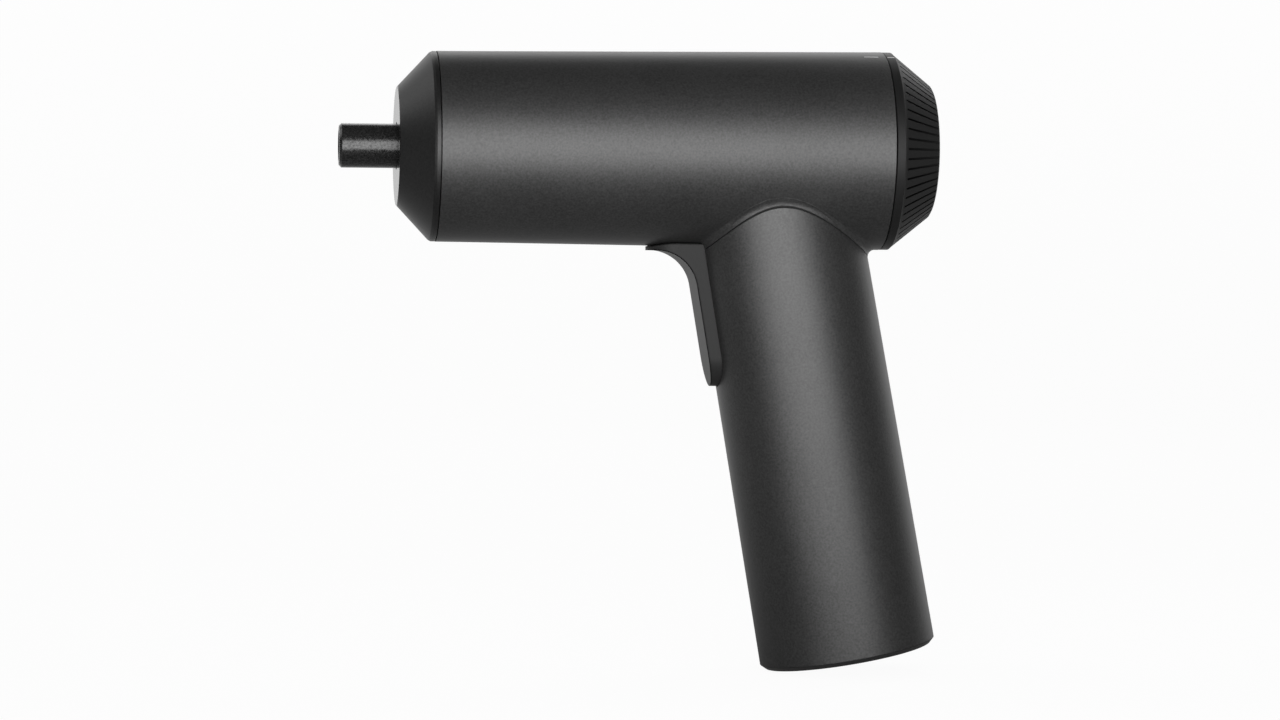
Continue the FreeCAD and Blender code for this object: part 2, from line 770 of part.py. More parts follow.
nose_cap = keep(
    turned(
        "nose_cap",
        [
            ("nose_face_x", "bit_holder_radius + nose_hole_gap"),
            ("nose_face_x", "nose_face_radius - edge_break"),
            ("nose_face_x + edge_break", "nose_face_radius"),
            ("nose_cone_end_x - edge_break", "barrel_front_radius - edge_break - base_seam_gap"),
            ("nose_cone_end_x + edge_break", "barrel_front_radius - base_seam_gap"),
            ("front_seam_x - seam_gap", "barrel_front_radius - base_seam_gap"),
            ("front_seam_x - seam_gap", "spigot_radius"),
            ("front_seam_x + nose_spigot_length", "spigot_radius"),
            ("front_seam_x + nose_spigot_length", "spigot_bore"),
            ("nose_cone_end_x", "spigot_bore"),
            ("nose_face_x + nose_wall", "nose_face_radius - nose_wall / 2"),
            ("nose_face_x + nose_wall", "bit_holder_radius + nose_hole_gap"),
        ],
    )
)

base_shell = turned(
    "base_shell",
    [
        ("base_spigot_start", "base_spigot_bore"),
        ("base_spigot_start", "base_spigot_radius"),
        ("handle_length + base_seam_gap", "base_spigot_radius"),
        ("handle_length + base_seam_gap", "handle_base_radius"),
        ("base_face", "handle_base_radius - base_chamfer"),
        ("base_face", "0"),
        ("base_face - base_floor", "0"),
        ("base_face - base_floor", "base_spigot_bore"),
    ],
    HANDLE,
)


def slot_shape(name, inset, start, length):
    """Add a round-ended slot along the handle, drawn in from the charging socket's outside."""
    radius = f"(usb_height / 2 - ({inset}))"
    side = "(usb_width - usb_height) / 2"
    middle = plate(
        f"{name}_middle", start, length, f"2 * {side}", f"usb_centre - {radius}", f"2 * {radius}", HANDLE
    )
    left = rod(f"{name}_left", radius, start, length, side, "usb_centre", HANDLE)
    right = rod(f"{name}_right", radius, start, length, f"0 - {side}", "usb_centre", HANDLE)
    return fuse(name, middle, left, right)


through_floor = "base_face - base_floor - base_spigot_length"
through_floor_length = "base_floor + 2 * base_spigot_length"
usb_opening = slot_shape("usb_opening", "0 - usb_opening_gap", through_floor, through_floor_length)
light_opening = rod(
    "light_opening",
    "light_radius + press_gap",
    through_floor,
    through_floor_length,
    "light_across",
    "usb_centre",
    HANDLE,
)
base_cap = keep(cut("base_cap", base_shell, usb_opening, light_opening))

neck_outer = taper(
    "neck_outer",
    "sleeve_radius + neck_start * handle_slope",
    "sleeve_radius + sleeve_end * handle_slope",
    "neck_start",
    "sleeve_end - neck_start",
    HANDLE,
)
neck_inner = taper(
    "neck_inner",
    "sleeve_radius - sleeve_wall",
    "sleeve_radius - sleeve_wall + 2 * sleeve_end * handle_slope",
    "0",
    "2 * sleeve_end",
    HANDLE,
)
neck_clear = barrel_cone("neck_clear", "0 - barrel_wall + base_seam_gap")
neck_sleeve = keep(cut("neck_sleeve", neck_outer, neck_inner, neck_clear, trigger_slot))

# Bit holder, spindle and gear train

holder = doc.addObject("PartDesign::Body", "bit_holder")
holder_sketch = sketch_outline(
    holder,
    "bit_holder_outline",
    "XZ_Plane",
    [
        ("bit_holder_chamfer", "0"),
        ("bit_holder_chamfer", "hex_across_flats / 2"),
        ("0", "hex_across_flats / 2 + bit_holder_chamfer"),
        ("0", "bit_holder_radius - bit_holder_chamfer"),
        ("bit_holder_chamfer", "bit_holder_radius"),
        ("holder_shoulder_x", "bit_holder_radius"),
        ("holder_shoulder_x", "spindle_radius"),
        ("output_carrier_x + output_carrier_thickness", "spindle_radius"),
        ("output_carrier_x + output_carrier_thickness", "0"),
    ],
)
holder_turn = holder.newObject("PartDesign::Revolution", "bit_holder_turn")
holder_turn.Profile = holder_sketch
holder_turn.ReferenceAxis = (holder_sketch, ["H_Axis"])
holder_turn.Angle = 360.0
hex_long = "hex_across_flats / sqrt(3)"
hex_short = "hex_across_flats / sqrt(12)"
hex_flat = "hex_across_flats / 2"
socket_sketch = sketch_outline(
    holder,
    "hex_socket",
    "YZ_Plane",
    [
        (hex_long, "0"),
        (hex_short, hex_flat),
        (f"0 - {hex_short}", hex_flat),
        (f"0 - {hex_long}", "0"),
        (f"0 - {hex_short}", f"0 - {hex_flat}"),
        (hex_short, f"0 - {hex_flat}"),
    ],
)
socket = holder.newObject("PartDesign::Pocket", "hex_pocket")
socket.Profile = socket_sketch
socket.Reversed = True
bind(socket, Length="socket_depth")
magnet_seat = rod(
    "magnet_seat", "magnet_radius + press_gap", "socket_depth - magnet_length", "2 * magnet_length"
)
bit_spindle = keep(cut("bit_spindle", holder, magnet_seat))
bit_magnet = keep(rod("bit_magnet", "magnet_radius", "socket_depth", "magnet_length"))

case_spots = around(4, "case_screw_circle", 45)
front_plate_blank = turned(
    "front_plate_blank",
    [
        ("boss_front_x", "bush_radius"),
        ("boss_front_x", "bearing_boss_radius"),
        ("front_plate_x", "bearing_boss_radius"),
        ("front_plate_x", "rim_radius - slide_gap"),
        ("gear_case_x", "rim_radius - slide_gap"),
        ("gear_case_x", "bush_radius"),
    ],
)
front_plate_holes = rods(
    "front_plate_holes",
    case_spots,
    "gearbox_screw_radius + snug_gap",
    "front_plate_x - front_plate_thickness",
    "2 * front_plate_thickness",
)
front_plate = keep(cut("front_plate", front_plate_blank, front_plate_holes))
spindle_bush = keep(
    turned(
        "spindle_bush",
        [
            ("bush_front_x", "spindle_radius + running_gap"),
            ("bush_front_x", "bush_radius + bush_flange_width"),
            ("boss_front_x", "bush_radius + bush_flange_width"),
            ("boss_front_x", "bush_radius - press_gap"),
            ("gear_case_x", "bush_radius - press_gap"),
            ("gear_case_x", "spindle_radius + running_gap"),
        ],
    )
)
thrust_washer = keep(
    ring(
        "thrust_washer",
        "spindle_radius + snug_gap",
        "bush_radius + bush_flange_width / 2",
        "thrust_washer_x",
        "thrust_washer_thickness",
    )
)

ring_space = toothed_prism(
    "ring_space",
    int(amount_of("ring_teeth")),
    amount_of("ring_root_radius"),
    amount_of("ring_tip_radius"),
    math.pi * amount_of("gear_module") / 2.0 + amount_of("tooth_thinning"),
    amount_of("teeth_x"),
    amount_of("motor_x - teeth_x"),
    180.0 / amount_of("ring_teeth"),
)
gear_case_blank = turned(
    "gear_case_blank",
    [
        ("gear_case_x", "ring_root_radius + edge_break"),
        ("gear_case_x", "gear_case_radius"),
        ("motor_plate_x", "gear_case_radius"),
        ("motor_plate_x", "ring_tip_radius"),
        ("teeth_x", "ring_tip_radius"),
        ("teeth_x", "ring_root_radius + edge_break"),
    ],
)
case_screw_holes = rods(
    "case_screw_holes",
    case_spots,
    "gearbox_screw_radius + press_gap",
    "front_plate_x",
    "gearbox_screw_length + loose_gap",
)
plate_spots = around(3, "case_screw_circle", 60)
plate_screw_holes = rods(
    "plate_screw_holes",
    plate_spots,
    "plate_screw_radius + press_gap",
    "motor_x - plate_screw_length - loose_gap",
    "plate_screw_length + loose_gap",
)
gear_case = keep(cut("gear_case", gear_case_blank, ring_space, case_screw_holes, plate_screw_holes))
gearbox_screws = keep(screws("gearbox_screws", "gearbox", case_spots, "front_plate_x", True))

planet_spots = around(PLANETS, "planet_circle", 0)
output_carrier_blank = ring(
    "output_carrier_blank",
    "spindle_radius + press_gap",
    "carrier_radius",
    "output_carrier_x",
    "output_carrier_thickness",
)
output_pin_holes = rods(
    "output_pin_holes",
    planet_spots,
    "planet_pin_radius + press_gap",
    "output_carrier_x - output_carrier_thickness",
    "3 * output_carrier_thickness",
)
output_carrier = keep(cut("output_carrier", output_carrier_blank, output_pin_holes))
output_pins = keep(
    rods(
        "output_pins",
        planet_spots,
        "planet_pin_radius",
        "output_carrier_x",
        "output_gear_end_x - output_carrier_x",
    )
)

output_sun = external_gear(
    "output_sun",
    int(amount_of("sun_teeth")),
    "output_gear_x + end_play",
    "input_carrier_x - output_gear_x",
    0.0,
)
input_carrier_blank = rod(
    "input_carrier_blank", "carrier_radius", "input_carrier_x", "input_carrier_thickness"
)
input_carrier_joined = fuse("input_carrier_joined", input_carrier_blank, output_sun)
input_pin_holes = rods(
    "input_pin_holes",
    planet_spots,
    "planet_pin_radius + press_gap",
    "input_carrier_x - input_carrier_thickness",
    "3 * input_carrier_thickness",
)
input_carrier = keep(cut("input_carrier", input_carrier_joined, input_pin_holes))
input_pins = keep(
    rods(
        "input_pins",
        planet_spots,
        "planet_pin_radius",
        "input_carrier_x",
        "input_gear_end_x - input_carrier_x",
    )
)


def planet(name, start, length, index):
    """Add one planet gear on its pin, with tooth gaps towards the sun and the ring."""
    teeth = int(amount_of("planet_teeth"))
    angle = 360.0 * index / PLANETS
    across, up = planet_spots[index]
    blank = external_gear(f"{name}_teeth", teeth, start, length, angle + 180.0 / teeth)
    blank.setExpression("Placement.Base.y", expand(across))
    blank.setExpression("Placement.Base.z", expand(up))
    bore_radius = "planet_pin_radius + running_gap"
    bore = rod(f"{name}_bore", bore_radius, f"{start} - {length}", f"3 * {length}", across, up)
    return keep(cut(name, blank, bore))


for number in range(PLANETS):
    planet(f"output_planet_{number + 1}", "output_gear_x", "output_gear_width", number)
for number in range(PLANETS):
    planet(f"input_planet_{number + 1}", "input_gear_x", "input_gear_width", number)

# Motor

pinion_length = "input_gear_width + pinion_overhang"
pinion_blank = external_gear("pinion_blank", int(amount_of("sun_teeth")), "pinion_x", pinion_length, 0.0)
pinion_bore = rod(
    "pinion_bore", "motor_shaft_radius + press_gap", "pinion_x - input_gear_width", "4 * input_gear_width"
)
motor_pinion = keep(cut("motor_pinion", pinion_blank, pinion_bore))
rotor_shaft = keep(
    rod("rotor_shaft", "motor_shaft_radius", "pinion_x", "bell_end_x + motor_shaft_tail - pinion_x")
)

motor_screw_spots = around(2, "motor_screw_circle", 90)
motor_plate_blank = ring(
    "motor_plate_blank",
    "motor_boss_radius + base_seam_gap",
    "gear_case_radius - snug_gap",
    "motor_plate_x",
    "motor_plate_thickness",
)
through_plate = "motor_plate_x - motor_plate_thickness"
through_plate_length = "3 * motor_plate_thickness"
motor_screw_holes = rods(
    "motor_screw_holes",
    motor_screw_spots,
    "motor_screw_radius + base_seam_gap",
    through_plate,
    through_plate_length,
)
plate_holes = rods(
    "plate_holes", plate_spots, "plate_screw_radius + snug_gap", through_plate, through_plate_length
)
motor_plate = keep(cut("motor_plate", motor_plate_blank, motor_screw_holes, plate_holes))
plate_screws = keep(screws("plate_screws", "plate", plate_spots, "motor_x", False))
motor_screws = keep(screws("motor_screws", "motor", motor_screw_spots, "motor_plate_x", True))
can_bore = "motor_radius - motor_can_wall"
motor_can_blank = turned(
    "motor_can_blank",
    [
        ("motor_x - motor_boss_length", "motor_bush_radius"),
        ("motor_x - motor_boss_length", "motor_boss_radius"),
        ("motor_x", "motor_boss_radius"),
        ("motor_x", "motor_radius - motor_can_edge"),
        ("motor_x + motor_can_edge", "motor_radius"),
        ("motor_end_x", "motor_radius"),
        ("motor_end_x", can_bore),
        ("motor_x + motor_can_wall", can_bore),
        ("motor_x + motor_can_wall", "motor_bush_radius"),
    ],
)
motor_can = keep(cut("motor_can", motor_can_blank, motor_screw_holes))
motor_front_bush = keep(
    ring(
        "motor_front_bush",
        "motor_shaft_radius + running_gap",
        "motor_bush_radius - press_gap",
        "motor_x - motor_boss_length",
        "motor_bush_length",
    )
)
magnet_tube = ring(
    "magnet_tube",
    f"{can_bore} - arc_magnet_thickness",
    f"{can_bore} - press_gap",
    "motor_x + arc_magnet_set_in",
    "arc_magnet_length",
)
magnet_gap = plate(
    "magnet_gap",
    "motor_x",
    "motor_can_length",
    "3 * motor_radius",
    "0 - arc_magnet_split / 2",
    "arc_magnet_split",
)
motor_magnets = keep(cut("motor_magnets", magnet_tube, magnet_gap))
armature_blank = ring(
    "armature_blank",
    "motor_shaft_radius + press_gap",
    "armature_radius",
    "motor_x + armature_set_in",
    "armature_length",
)
armature_slots = rods(
    "armature_slots",
    around(ARMATURE_SLOTS, "armature_radius - armature_slot_radius / 2", 36),
    "armature_slot_radius",
    "motor_x",
    "motor_can_length",
)
armature = keep(cut("armature", armature_blank, armature_slots))
commutator = keep(
    ring(
        "commutator",
        "motor_shaft_radius + press_gap",
        "commutator_radius",
        "motor_end_x + commutator_tail - commutator_length",
        "commutator_length",
    )
)
motor_end_bell = keep(
    turned(
        "motor_end_bell",
        [
            ("bell_floor_x", "motor_bush_radius"),
            ("bell_floor_x", f"{can_bore} - end_bell_wall"),
            ("motor_end_x - end_bell_skirt", f"{can_bore} - end_bell_wall"),
            ("motor_end_x - end_bell_skirt", f"{can_bore} - press_gap"),
            ("motor_end_x", f"{can_bore} - press_gap"),
            ("motor_end_x", "motor_radius"),
            ("bell_end_x - end_bell_edge", "motor_radius"),
            ("bell_end_x", "motor_radius - end_bell_edge"),
            ("bell_end_x", "motor_bush_radius"),
        ],
    )
)
motor_rear_bush = keep(
    ring(
        "motor_rear_bush",
        "motor_shaft_radius + running_gap",
        "motor_bush_radius - press_gap",
        "bell_floor_x",
        "end_bell_length - end_bell_wall",
    )
)
brush_x = "bell_floor_x - brush_length"
brush_inner = "commutator_radius + brush_gap"
brush_top = plate("brush_top", brush_x, "brush_length", "brush_width", brush_inner, "brush_height")
brush_bottom = plate(
    "brush_bottom",
    brush_x,
    "brush_length",
    "brush_width",
    f"0 - ({brush_inner}) - brush_height",
    "brush_height",
)
motor_brushes = keep(group("motor_brushes", brush_top, brush_bottom))
tag_top = plate("tag_top", "bell_end_x", "tag_length", "tag_width", "tag_offset", "tag_thickness")
tag_bottom = plate(
    "tag_bottom", "bell_end_x", "tag_length", "tag_width", "0 - tag_offset - tag_thickness", "tag_thickness"
)
motor_tags = keep(group("motor_tags", tag_top, tag_bottom))
cradle_ring = ring("cradle_ring", "motor_radius + snug_gap", "cradle_radius", "cradle_x", "cradle_thickness")
cradle_open = plate(
    "cradle_open",
    "cradle_x - cradle_thickness",
    "3 * cradle_thickness",
    "cradle_window",
    "0",
    "barrel_front_radius + barrel_rear_radius",
)
motor_cradle = keep(cut("motor_cradle", cradle_ring, cradle_open))

# Direction dial

dial_screw_bottom = "pivot_end_x - dial_screw_length - loose_gap"
rear_plate_blank = turned(
    "rear_plate_blank",
    [
        ("rear_ledge_x", "0"),
        ("rear_ledge_x", "rear_bore_radius - slide_gap"),
        ("rear_plate_end_x", "rear_bore_radius - slide_gap"),
        ("rear_plate_end_x", "dial_pivot_radius + pivot_shoulder_width"),
        ("pivot_shoulder_x", "dial_pivot_radius + pivot_shoulder_width"),
        ("pivot_shoulder_x", "dial_pivot_radius"),
        ("pivot_end_x", "dial_pivot_radius"),
        ("pivot_end_x", "dial_screw_radius + press_gap"),
        (dial_screw_bottom, "dial_screw_radius + press_gap"),
        (dial_screw_bottom, "0"),
    ],
)
through_rear = "rear_ledge_x - rear_plate_thickness"
through_rear_length = "3 * rear_plate_thickness"
lead_hole = rod("lead_hole", "lead_hole_radius", through_rear, through_rear_length, "0", "0 - lead_hole_drop")
rear_plate_holes = rods(
    "rear_plate_holes", rear_spots, "rear_screw_radius + snug_gap", through_rear, through_rear_length
)
rear_plate = keep(cut("rear_plate", rear_plate_blank, lead_hole, rear_plate_holes))
rear_plate_screws = keep(screws("rear_plate_screws", "rear", rear_spots, "rear_plate_end_x", False))
board_disc = ring(
    "board_disc",
    "selector_board_bore",
    "selector_board_radius",
    "rear_plate_end_x",
    "selector_board_thickness",
)
board_lead_hole = rod(
    "board_lead_hole",
    "lead_radius + loose_gap",
    "rear_plate_end_x - selector_board_thickness",
    "3 * selector_board_thickness",
    "0",
    "0 - lead_hole_drop",
)
selector_board = keep(cut("selector_board", board_disc, board_lead_hole))
dial_friction_washer = keep(
    ring(
        "dial_friction_washer",
        "dial_pivot_radius + snug_gap",
        "dial_pivot_radius + snug_gap + friction_washer_width",
        "pivot_shoulder_x",
        "friction_washer_thickness",
    )
)

web_x = "dial_recess_x - dial_web"
hub_floor_x = "dial_seat_x - dial_hub_floor"
hub_outer = "dial_hub_radius + dial_hub_wall"
dial_blank = turned(
    "dial_blank",
    [
        ("dial_x", "dial_top_radius - dial_ring_wall"),
        ("dial_x", "dial_top_radius - edge_break / 2"),
        ("dial_x + edge_break / 2", "dial_top_radius"),
        ("dial_cone_x - edge_break", "dial_top_radius"),
        ("dial_cone_x", "dial_cone_radius"),
        ("dial_end_x - edge_break", "dial_rear_radius + edge_break * dial_slope"),
        ("dial_end_x", "dial_rear_radius - edge_break"),
        ("dial_end_x", "dial_cap_radius + press_gap"),
        ("dial_recess_x", "dial_cap_radius + press_gap"),
        ("dial_recess_x", "dial_hub_radius"),
        ("dial_seat_x", "dial_hub_radius"),
        ("dial_seat_x", "dial_pivot_radius + running_gap"),
        ("dial_hub_x", "dial_pivot_radius + running_gap"),
        ("dial_hub_x", "dial_hub_radius"),
        (hub_floor_x, "dial_hub_radius"),
        (hub_floor_x, hub_outer),
        (web_x, hub_outer),
        (web_x, f"dial_rear_radius + dial_slope * (dial_end_x - ({web_x})) - dial_wall"),
        ("dial_cone_x", "dial_cone_radius - dial_wall"),
    ],
)
groove = dial_blank.newObject("PartDesign::SubtractiveBox", "dial_groove")
bind(groove, Length="2 * dial_cone_length", Width="dial_groove_width", Height="2 * dial_groove_depth")
groove_fall = "dial_slope - (dial_groove_depth - dial_groove_tail) / dial_cone_length"
groove_turn = f"rotation(vector(0; 1; 0); atan({groove_fall}) / 1deg)"
groove_bottom = "dial_cone_radius - dial_groove_depth"
place(groove, "dial_cone_x", "0 - dial_groove_width / 2", groove_bottom, groove_turn, "")
groove_pattern = dial_blank.newObject("PartDesign::PolarPattern", "dial_groove_pattern")
groove_pattern.Originals = [groove]
groove_pattern.Axis = (plane_of(dial_blank, "X_Axis"), [""])
groove_pattern.Angle = 360.0
bind(groove_pattern, Occurrences="dial_grooves")
dial_blank.Tip = groove_pattern
wiper_post = rod(
    "wiper_post", "wiper_post_radius", "wiper_x", "dial_recess_x - wiper_x", "0", "0 - wiper_circle"
)
dial = keep(fuse("dial", dial_blank, wiper_post))
wiper_plate = plate(
    "wiper_plate",
    "wiper_x - wiper_thickness",
    "wiper_thickness",
    "wiper_width",
    "0 - wiper_circle - wiper_height / 2",
    "wiper_height",
)
wiper_tips = rods(
    "wiper_tips",
    [("wiper_tip_spread", "0 - wiper_circle"), ("0 - wiper_tip_spread", "0 - wiper_circle")],
    "wiper_tip_radius",
    "rear_plate_end_x + selector_board_thickness + end_play",
    "wiper_x - wiper_thickness / 2 - rear_plate_end_x - selector_board_thickness - end_play",
)
selector_wiper = keep(fuse("selector_wiper", wiper_plate, wiper_tips))
dial_cap = keep(rod("dial_cap", "dial_cap_radius", "dial_recess_x", "dial_cap_thickness"))
dial_washer = keep(
    ring(
        "dial_washer",
        "dial_screw_radius + loose_gap",
        "dial_pivot_radius + dial_washer_width",
        "pivot_end_x",
        "dial_washer_thickness",
    )
)
dial_screw = keep(
    screws("dial_screw", "dial", [("0", "0")], "pivot_end_x + dial_washer_thickness", False)
)

# Trigger, switch and return spring

trigger_bottom = "trigger_end_drop + trigger_half"
front_line = []
for reach in ("slot_top", trigger_bottom):
    off_axis = f"(handle_top_radius + ({reach}) * handle_slope + trigger_proud)"
    line_x = f"handle_axis_x + ({reach}) * sin(handle_angle) - {off_axis} * cos(handle_angle)"
    line_z = f"0 - ({reach}) * cos(handle_angle) - {off_axis} * sin(handle_angle)"
    front_line.append((line_x, line_z))
line_run = f"(({front_line[1][0]}) - ({front_line[0][0]}))"
line_fall = f"(({front_line[0][1]}) - ({front_line[1][1]}))"
FOLLOWS["trigger_line_x"] = front_line[0][0]
FOLLOWS["trigger_line_z"] = front_line[0][1]
FOLLOWS["trigger_lean"] = f"{line_run} / {line_fall}"
FOLLOWS["trigger_corner_x"] = "trigger_line_x + trigger_lean * (trigger_flange_drop + trigger_line_z)"
FOLLOWS["trigger_bottom_x"] = f"trigger_line_x + trigger_lean * ({trigger_bottom} + trigger_line_z)"
FOLLOWS["trigger_tip_x"] = "trigger_corner_x - trigger_tip_reach"
trigger_body = doc.addObject("PartDesign::Body", "trigger_body")
trigger_sketch = sketch_outline(
    trigger_body,
    "trigger_outline",
    "XZ_Plane",
    [
        ("trigger_tip_x", "0 - slot_top"),
        ("trigger_tip_x", "0 - trigger_flange_drop"),
        ("trigger_corner_x", "0 - trigger_flange_drop"),
        ("trigger_bottom_x", f"0 - ({trigger_bottom})"),
        ("trigger_back_x", f"0 - ({trigger_bottom})"),
        ("trigger_back_x", "0 - slot_top"),
    ],
)
trigger_pad = trigger_body.newObject("PartDesign::Pad", "trigger_pad")
trigger_pad.Profile = trigger_sketch
trigger_pad.Midplane = True
bind(trigger_pad, Length="trigger_width")
doc.recompute()
corner = FreeCAD.Vector(amount_of("trigger_corner_x"), 0, -amount_of("trigger_flange_drop"))
near_corner = [edge.CenterOfMass.distanceToPoint(corner) for edge in trigger_pad.Shape.Edges]
finger_edge = f"Edge{near_corner.index(min(near_corner)) + 1}"
finger_round = trigger_body.newObject("PartDesign::Fillet", "finger_round")
finger_round.Base = (trigger_pad, [finger_edge])
bind(finger_round, Radius="trigger_finger_radius")
trigger_body.Tip = finger_round
trigger_room = "trigger_back_x - trigger_tip_x + trigger_width"
end_box = plate(
    "end_box",
    "trigger_tip_x - trigger_half",
    trigger_room,
    "2 * trigger_width",
    "0 - trigger_end_centre",
    "trigger_end_centre",
)
end_disc = rod(
    "end_disc", "trigger_half", "trigger_tip_x - trigger_half", trigger_room, "0", "0 - trigger_end_centre"
)
end_shape = fuse("end_shape", end_box, end_disc)
tip_box = plate(
    "tip_box",
    "trigger_tip_x + trigger_half",
    trigger_room,
    "2 * trigger_width",
    f"0 - ({trigger_bottom})",
    trigger_bottom,
)
tip_disc = post(
    "tip_disc",
    "trigger_half",
    "trigger_tip_x + trigger_half",
    "0",
    f"0 - ({trigger_bottom})",
    trigger_bottom,
)
tip_shape = fuse("tip_shape", tip_box, tip_disc)
trigger_ended = common("trigger_ended", trigger_body, end_shape)
trigger_tipped = common("trigger_tipped", trigger_ended, tip_shape)
barrel_clear = barrel_cone("barrel_clear", "slide_gap")
trigger_face = cut("trigger_face", trigger_tipped, barrel_clear)
ear_bottom = "trigger_end_drop - trigger_ear_inset"
trigger_ears = plate(
    "trigger_ears",
    "trigger_back_x - trigger_ear_thickness",
    "trigger_ear_thickness",
    "trigger_ear_width",
    f"0 - ({ear_bottom})",
    f"{ear_bottom} - spring_drop",
)
trigger_pin = rod(
    "trigger_pin",
    "guide_pin_radius",
    "trigger_back_x - trigger_ear_thickness / 2",
    "guide_pin_length + trigger_ear_thickness / 2",
    "0",
    "0 - spring_drop",
)
trigger = keep(fuse("trigger", trigger_face, trigger_ears, trigger_pin))

switch_case = plate(
    "switch_case",
    "switch_x",
    "switch_length",
    "switch_width",
    "0 - switch_drop - switch_height / 2",
    "switch_height",
)
plunger_bore = rod(
    "plunger_bore",
    "plunger_radius + slide_gap",
    "switch_x - plunger_inside",
    "trigger_travel + 3 * plunger_inside + loose_gap",
    "0",
    "0 - switch_drop",
)
switch_body = keep(cut("switch_body", switch_case, plunger_bore))
switch_plunger = keep(
    rod(
        "switch_plunger",
        "plunger_radius",
        "trigger_back_x",
        "switch_stand_off + plunger_inside",
        "0",
        "0 - switch_drop",
    )
)


def helix_point(turns, start, pitch, radius, height):
    """Return a point of the spring's centre line and its direction."""
    angle = 2.0 * math.pi * turns
    spot = FreeCAD.Vector(start + pitch * turns, radius * math.sin(angle), height + radius * math.cos(angle))
    way = FreeCAD.Vector(pitch / (2.0 * math.pi), radius * math.cos(angle), -radius * math.sin(angle))
    return spot, way.normalize()


def two_arcs(first, first_way, last, last_way):
    """Return two arcs that join two points and keep the direction at both."""
    gap = last - first
    both = first_way + last_way
    lead = 2.0 * (1.0 - first_way.dot(last_way))
    across = gap.dot(both)
    reach = (-across + math.sqrt(across * across + lead * gap.dot(gap))) / lead
    near = first + first_way * reach
    far = last - last_way * reach
    meet = (near + far) * 0.5
    arcs = []
    for start, corner, end in ((first, near, meet), (meet, far, last)):
        side = (start - corner).normalize() + (end - corner).normalize()
        half = (start - corner).getAngle(end - corner) / 2.0
        length = (start - corner).Length
        radius = length * math.tan(half)
        crown = corner + side.normalize() * (length / math.cos(half) - radius)
        arcs.append(Part.Arc(start, crown, end).toShape())
    return arcs


def coil(name, start, length, turns, radius, wire_radius, height):
    """Add a spring along X as one unbroken round wire."""
    pitch = length / turns
    edges = []
    steps = int(turns * 4)
    for step in range(steps):
        first, first_way = helix_point(step / 4.0, start, pitch, radius, height)
        last, last_way = helix_point((step + 1) / 4.0, start, pitch, radius, height)
        edges.extend(two_arcs(first, first_way, last, last_way))
    spine = Part.Wire(edges)
    first, first_way = helix_point(0.0, start, pitch, radius, height)
    section = Part.Wire(Part.makeCircle(wire_radius, first, first_way))
    item = doc.addObject("Part::Feature", name)
    item.Shape = Part.Solid(spine.makePipeShell([section], True, False))
    least = pitch
    spots = [helix_point(part / 24.0, start, pitch, radius, height)[0] for part in range(int(turns * 24))]
    for index, spot in enumerate(spots):
        for other in spots[index + 18:]:
            least = min(least, spot.distanceToPoint(other))
    print(f"{name}: least gap between its own turns {least - 2.0 * wire_radius:.2f} mm")
    return item


spring_wire = amount_of("spring_wire")
spring_seat = spring_wire + amount_of("base_seam_gap")
trigger_spring = keep(
    coil(
        "trigger_spring",
        amount_of("trigger_back_x") + spring_seat,
        amount_of("bracket_x - trigger_back_x") - 2.0 * spring_seat,
        int(amount_of("spring_turns")),
        amount_of("spring_radius"),
        spring_wire,
        -amount_of("spring_drop"),
    )
)

# Cell, chassis and boards

chassis_top = rod(
    "chassis_top",
    "handle_bore_top + chassis_start * handle_slope - slide_gap",
    "chassis_start",
    "chassis_disc",
    "0",
    "0",
    HANDLE,
)
chassis_bottom = rod(
    "chassis_bottom",
    "handle_bore_top + chassis_end * handle_slope - slide_gap",
    "chassis_end",
    "chassis_disc",
    "0",
    "0",
    HANDLE,
)
trough_length = "chassis_end - chassis_start + chassis_disc / 2"
trough_room = "chassis_end - chassis_floor"
trough_outer = rod("trough_outer", "trough_radius", "chassis_start", trough_length, "0", "0", HANDLE)
trough_inner = rod("trough_inner", "trough_bore", "chassis_floor", trough_room, "0", "0", HANDLE)
trough_front = plate(
    "trough_front",
    "chassis_floor",
    trough_room,
    "3 * trough_radius",
    "0 - 2 * trough_radius",
    "2 * trough_radius",
    HANDLE,
)
trough_half = cut("trough_half", trough_outer, trough_inner, trough_front)
bracket_foot = "chassis_start + chassis_disc * 0.4"
bracket = plate(
    "bracket",
    "bracket_x",
    "bracket_thickness",
    "bracket_width",
    f"0 - ({bracket_foot})",
    f"{bracket_foot} - spring_drop + bracket_rise",
)
bracket_pin = rod(
    "bracket_pin",
    "guide_pin_radius",
    "bracket_x - guide_pin_length",
    "guide_pin_length + bracket_thickness / 2",
    "0",
    "0 - spring_drop",
)
chassis_joined = fuse("chassis_joined", chassis_top, chassis_bottom, trough_half, bracket, bracket_pin)
front_clear = plate(
    "front_clear",
    "chassis_start - chassis_disc",
    "3 * chassis_disc",
    "3 * handle_base_radius",
    "0 - 2 * handle_base_radius",
    "2 * handle_base_radius - cell_radius + loose_gap",
    HANDLE,
)
board_clear = plate(
    "board_clear",
    "chassis_start - chassis_disc",
    "handle_length",
    "2 * (board_half + slide_gap)",
    "board_offset - snug_gap",
    "board_thickness + 2 * snug_gap",
    HANDLE,
)
through_disc = "chassis_end - chassis_disc"
through_disc_length = "3 * chassis_disc"
usb_clear = plate(
    "usb_clear",
    through_disc,
    through_disc_length,
    "usb_width + 2 * loose_gap",
    "usb_centre - usb_height / 2 - loose_gap",
    "usb_height + 2 * loose_gap",
    HANDLE,
)
light_clear = rod(
    "light_clear",
    "light_radius + loose_gap",
    through_disc,
    through_disc_length,
    "light_across",
    "usb_centre",
    HANDLE,
)
chassis = keep(cut("chassis", chassis_joined, front_clear, board_clear, usb_clear, light_clear))

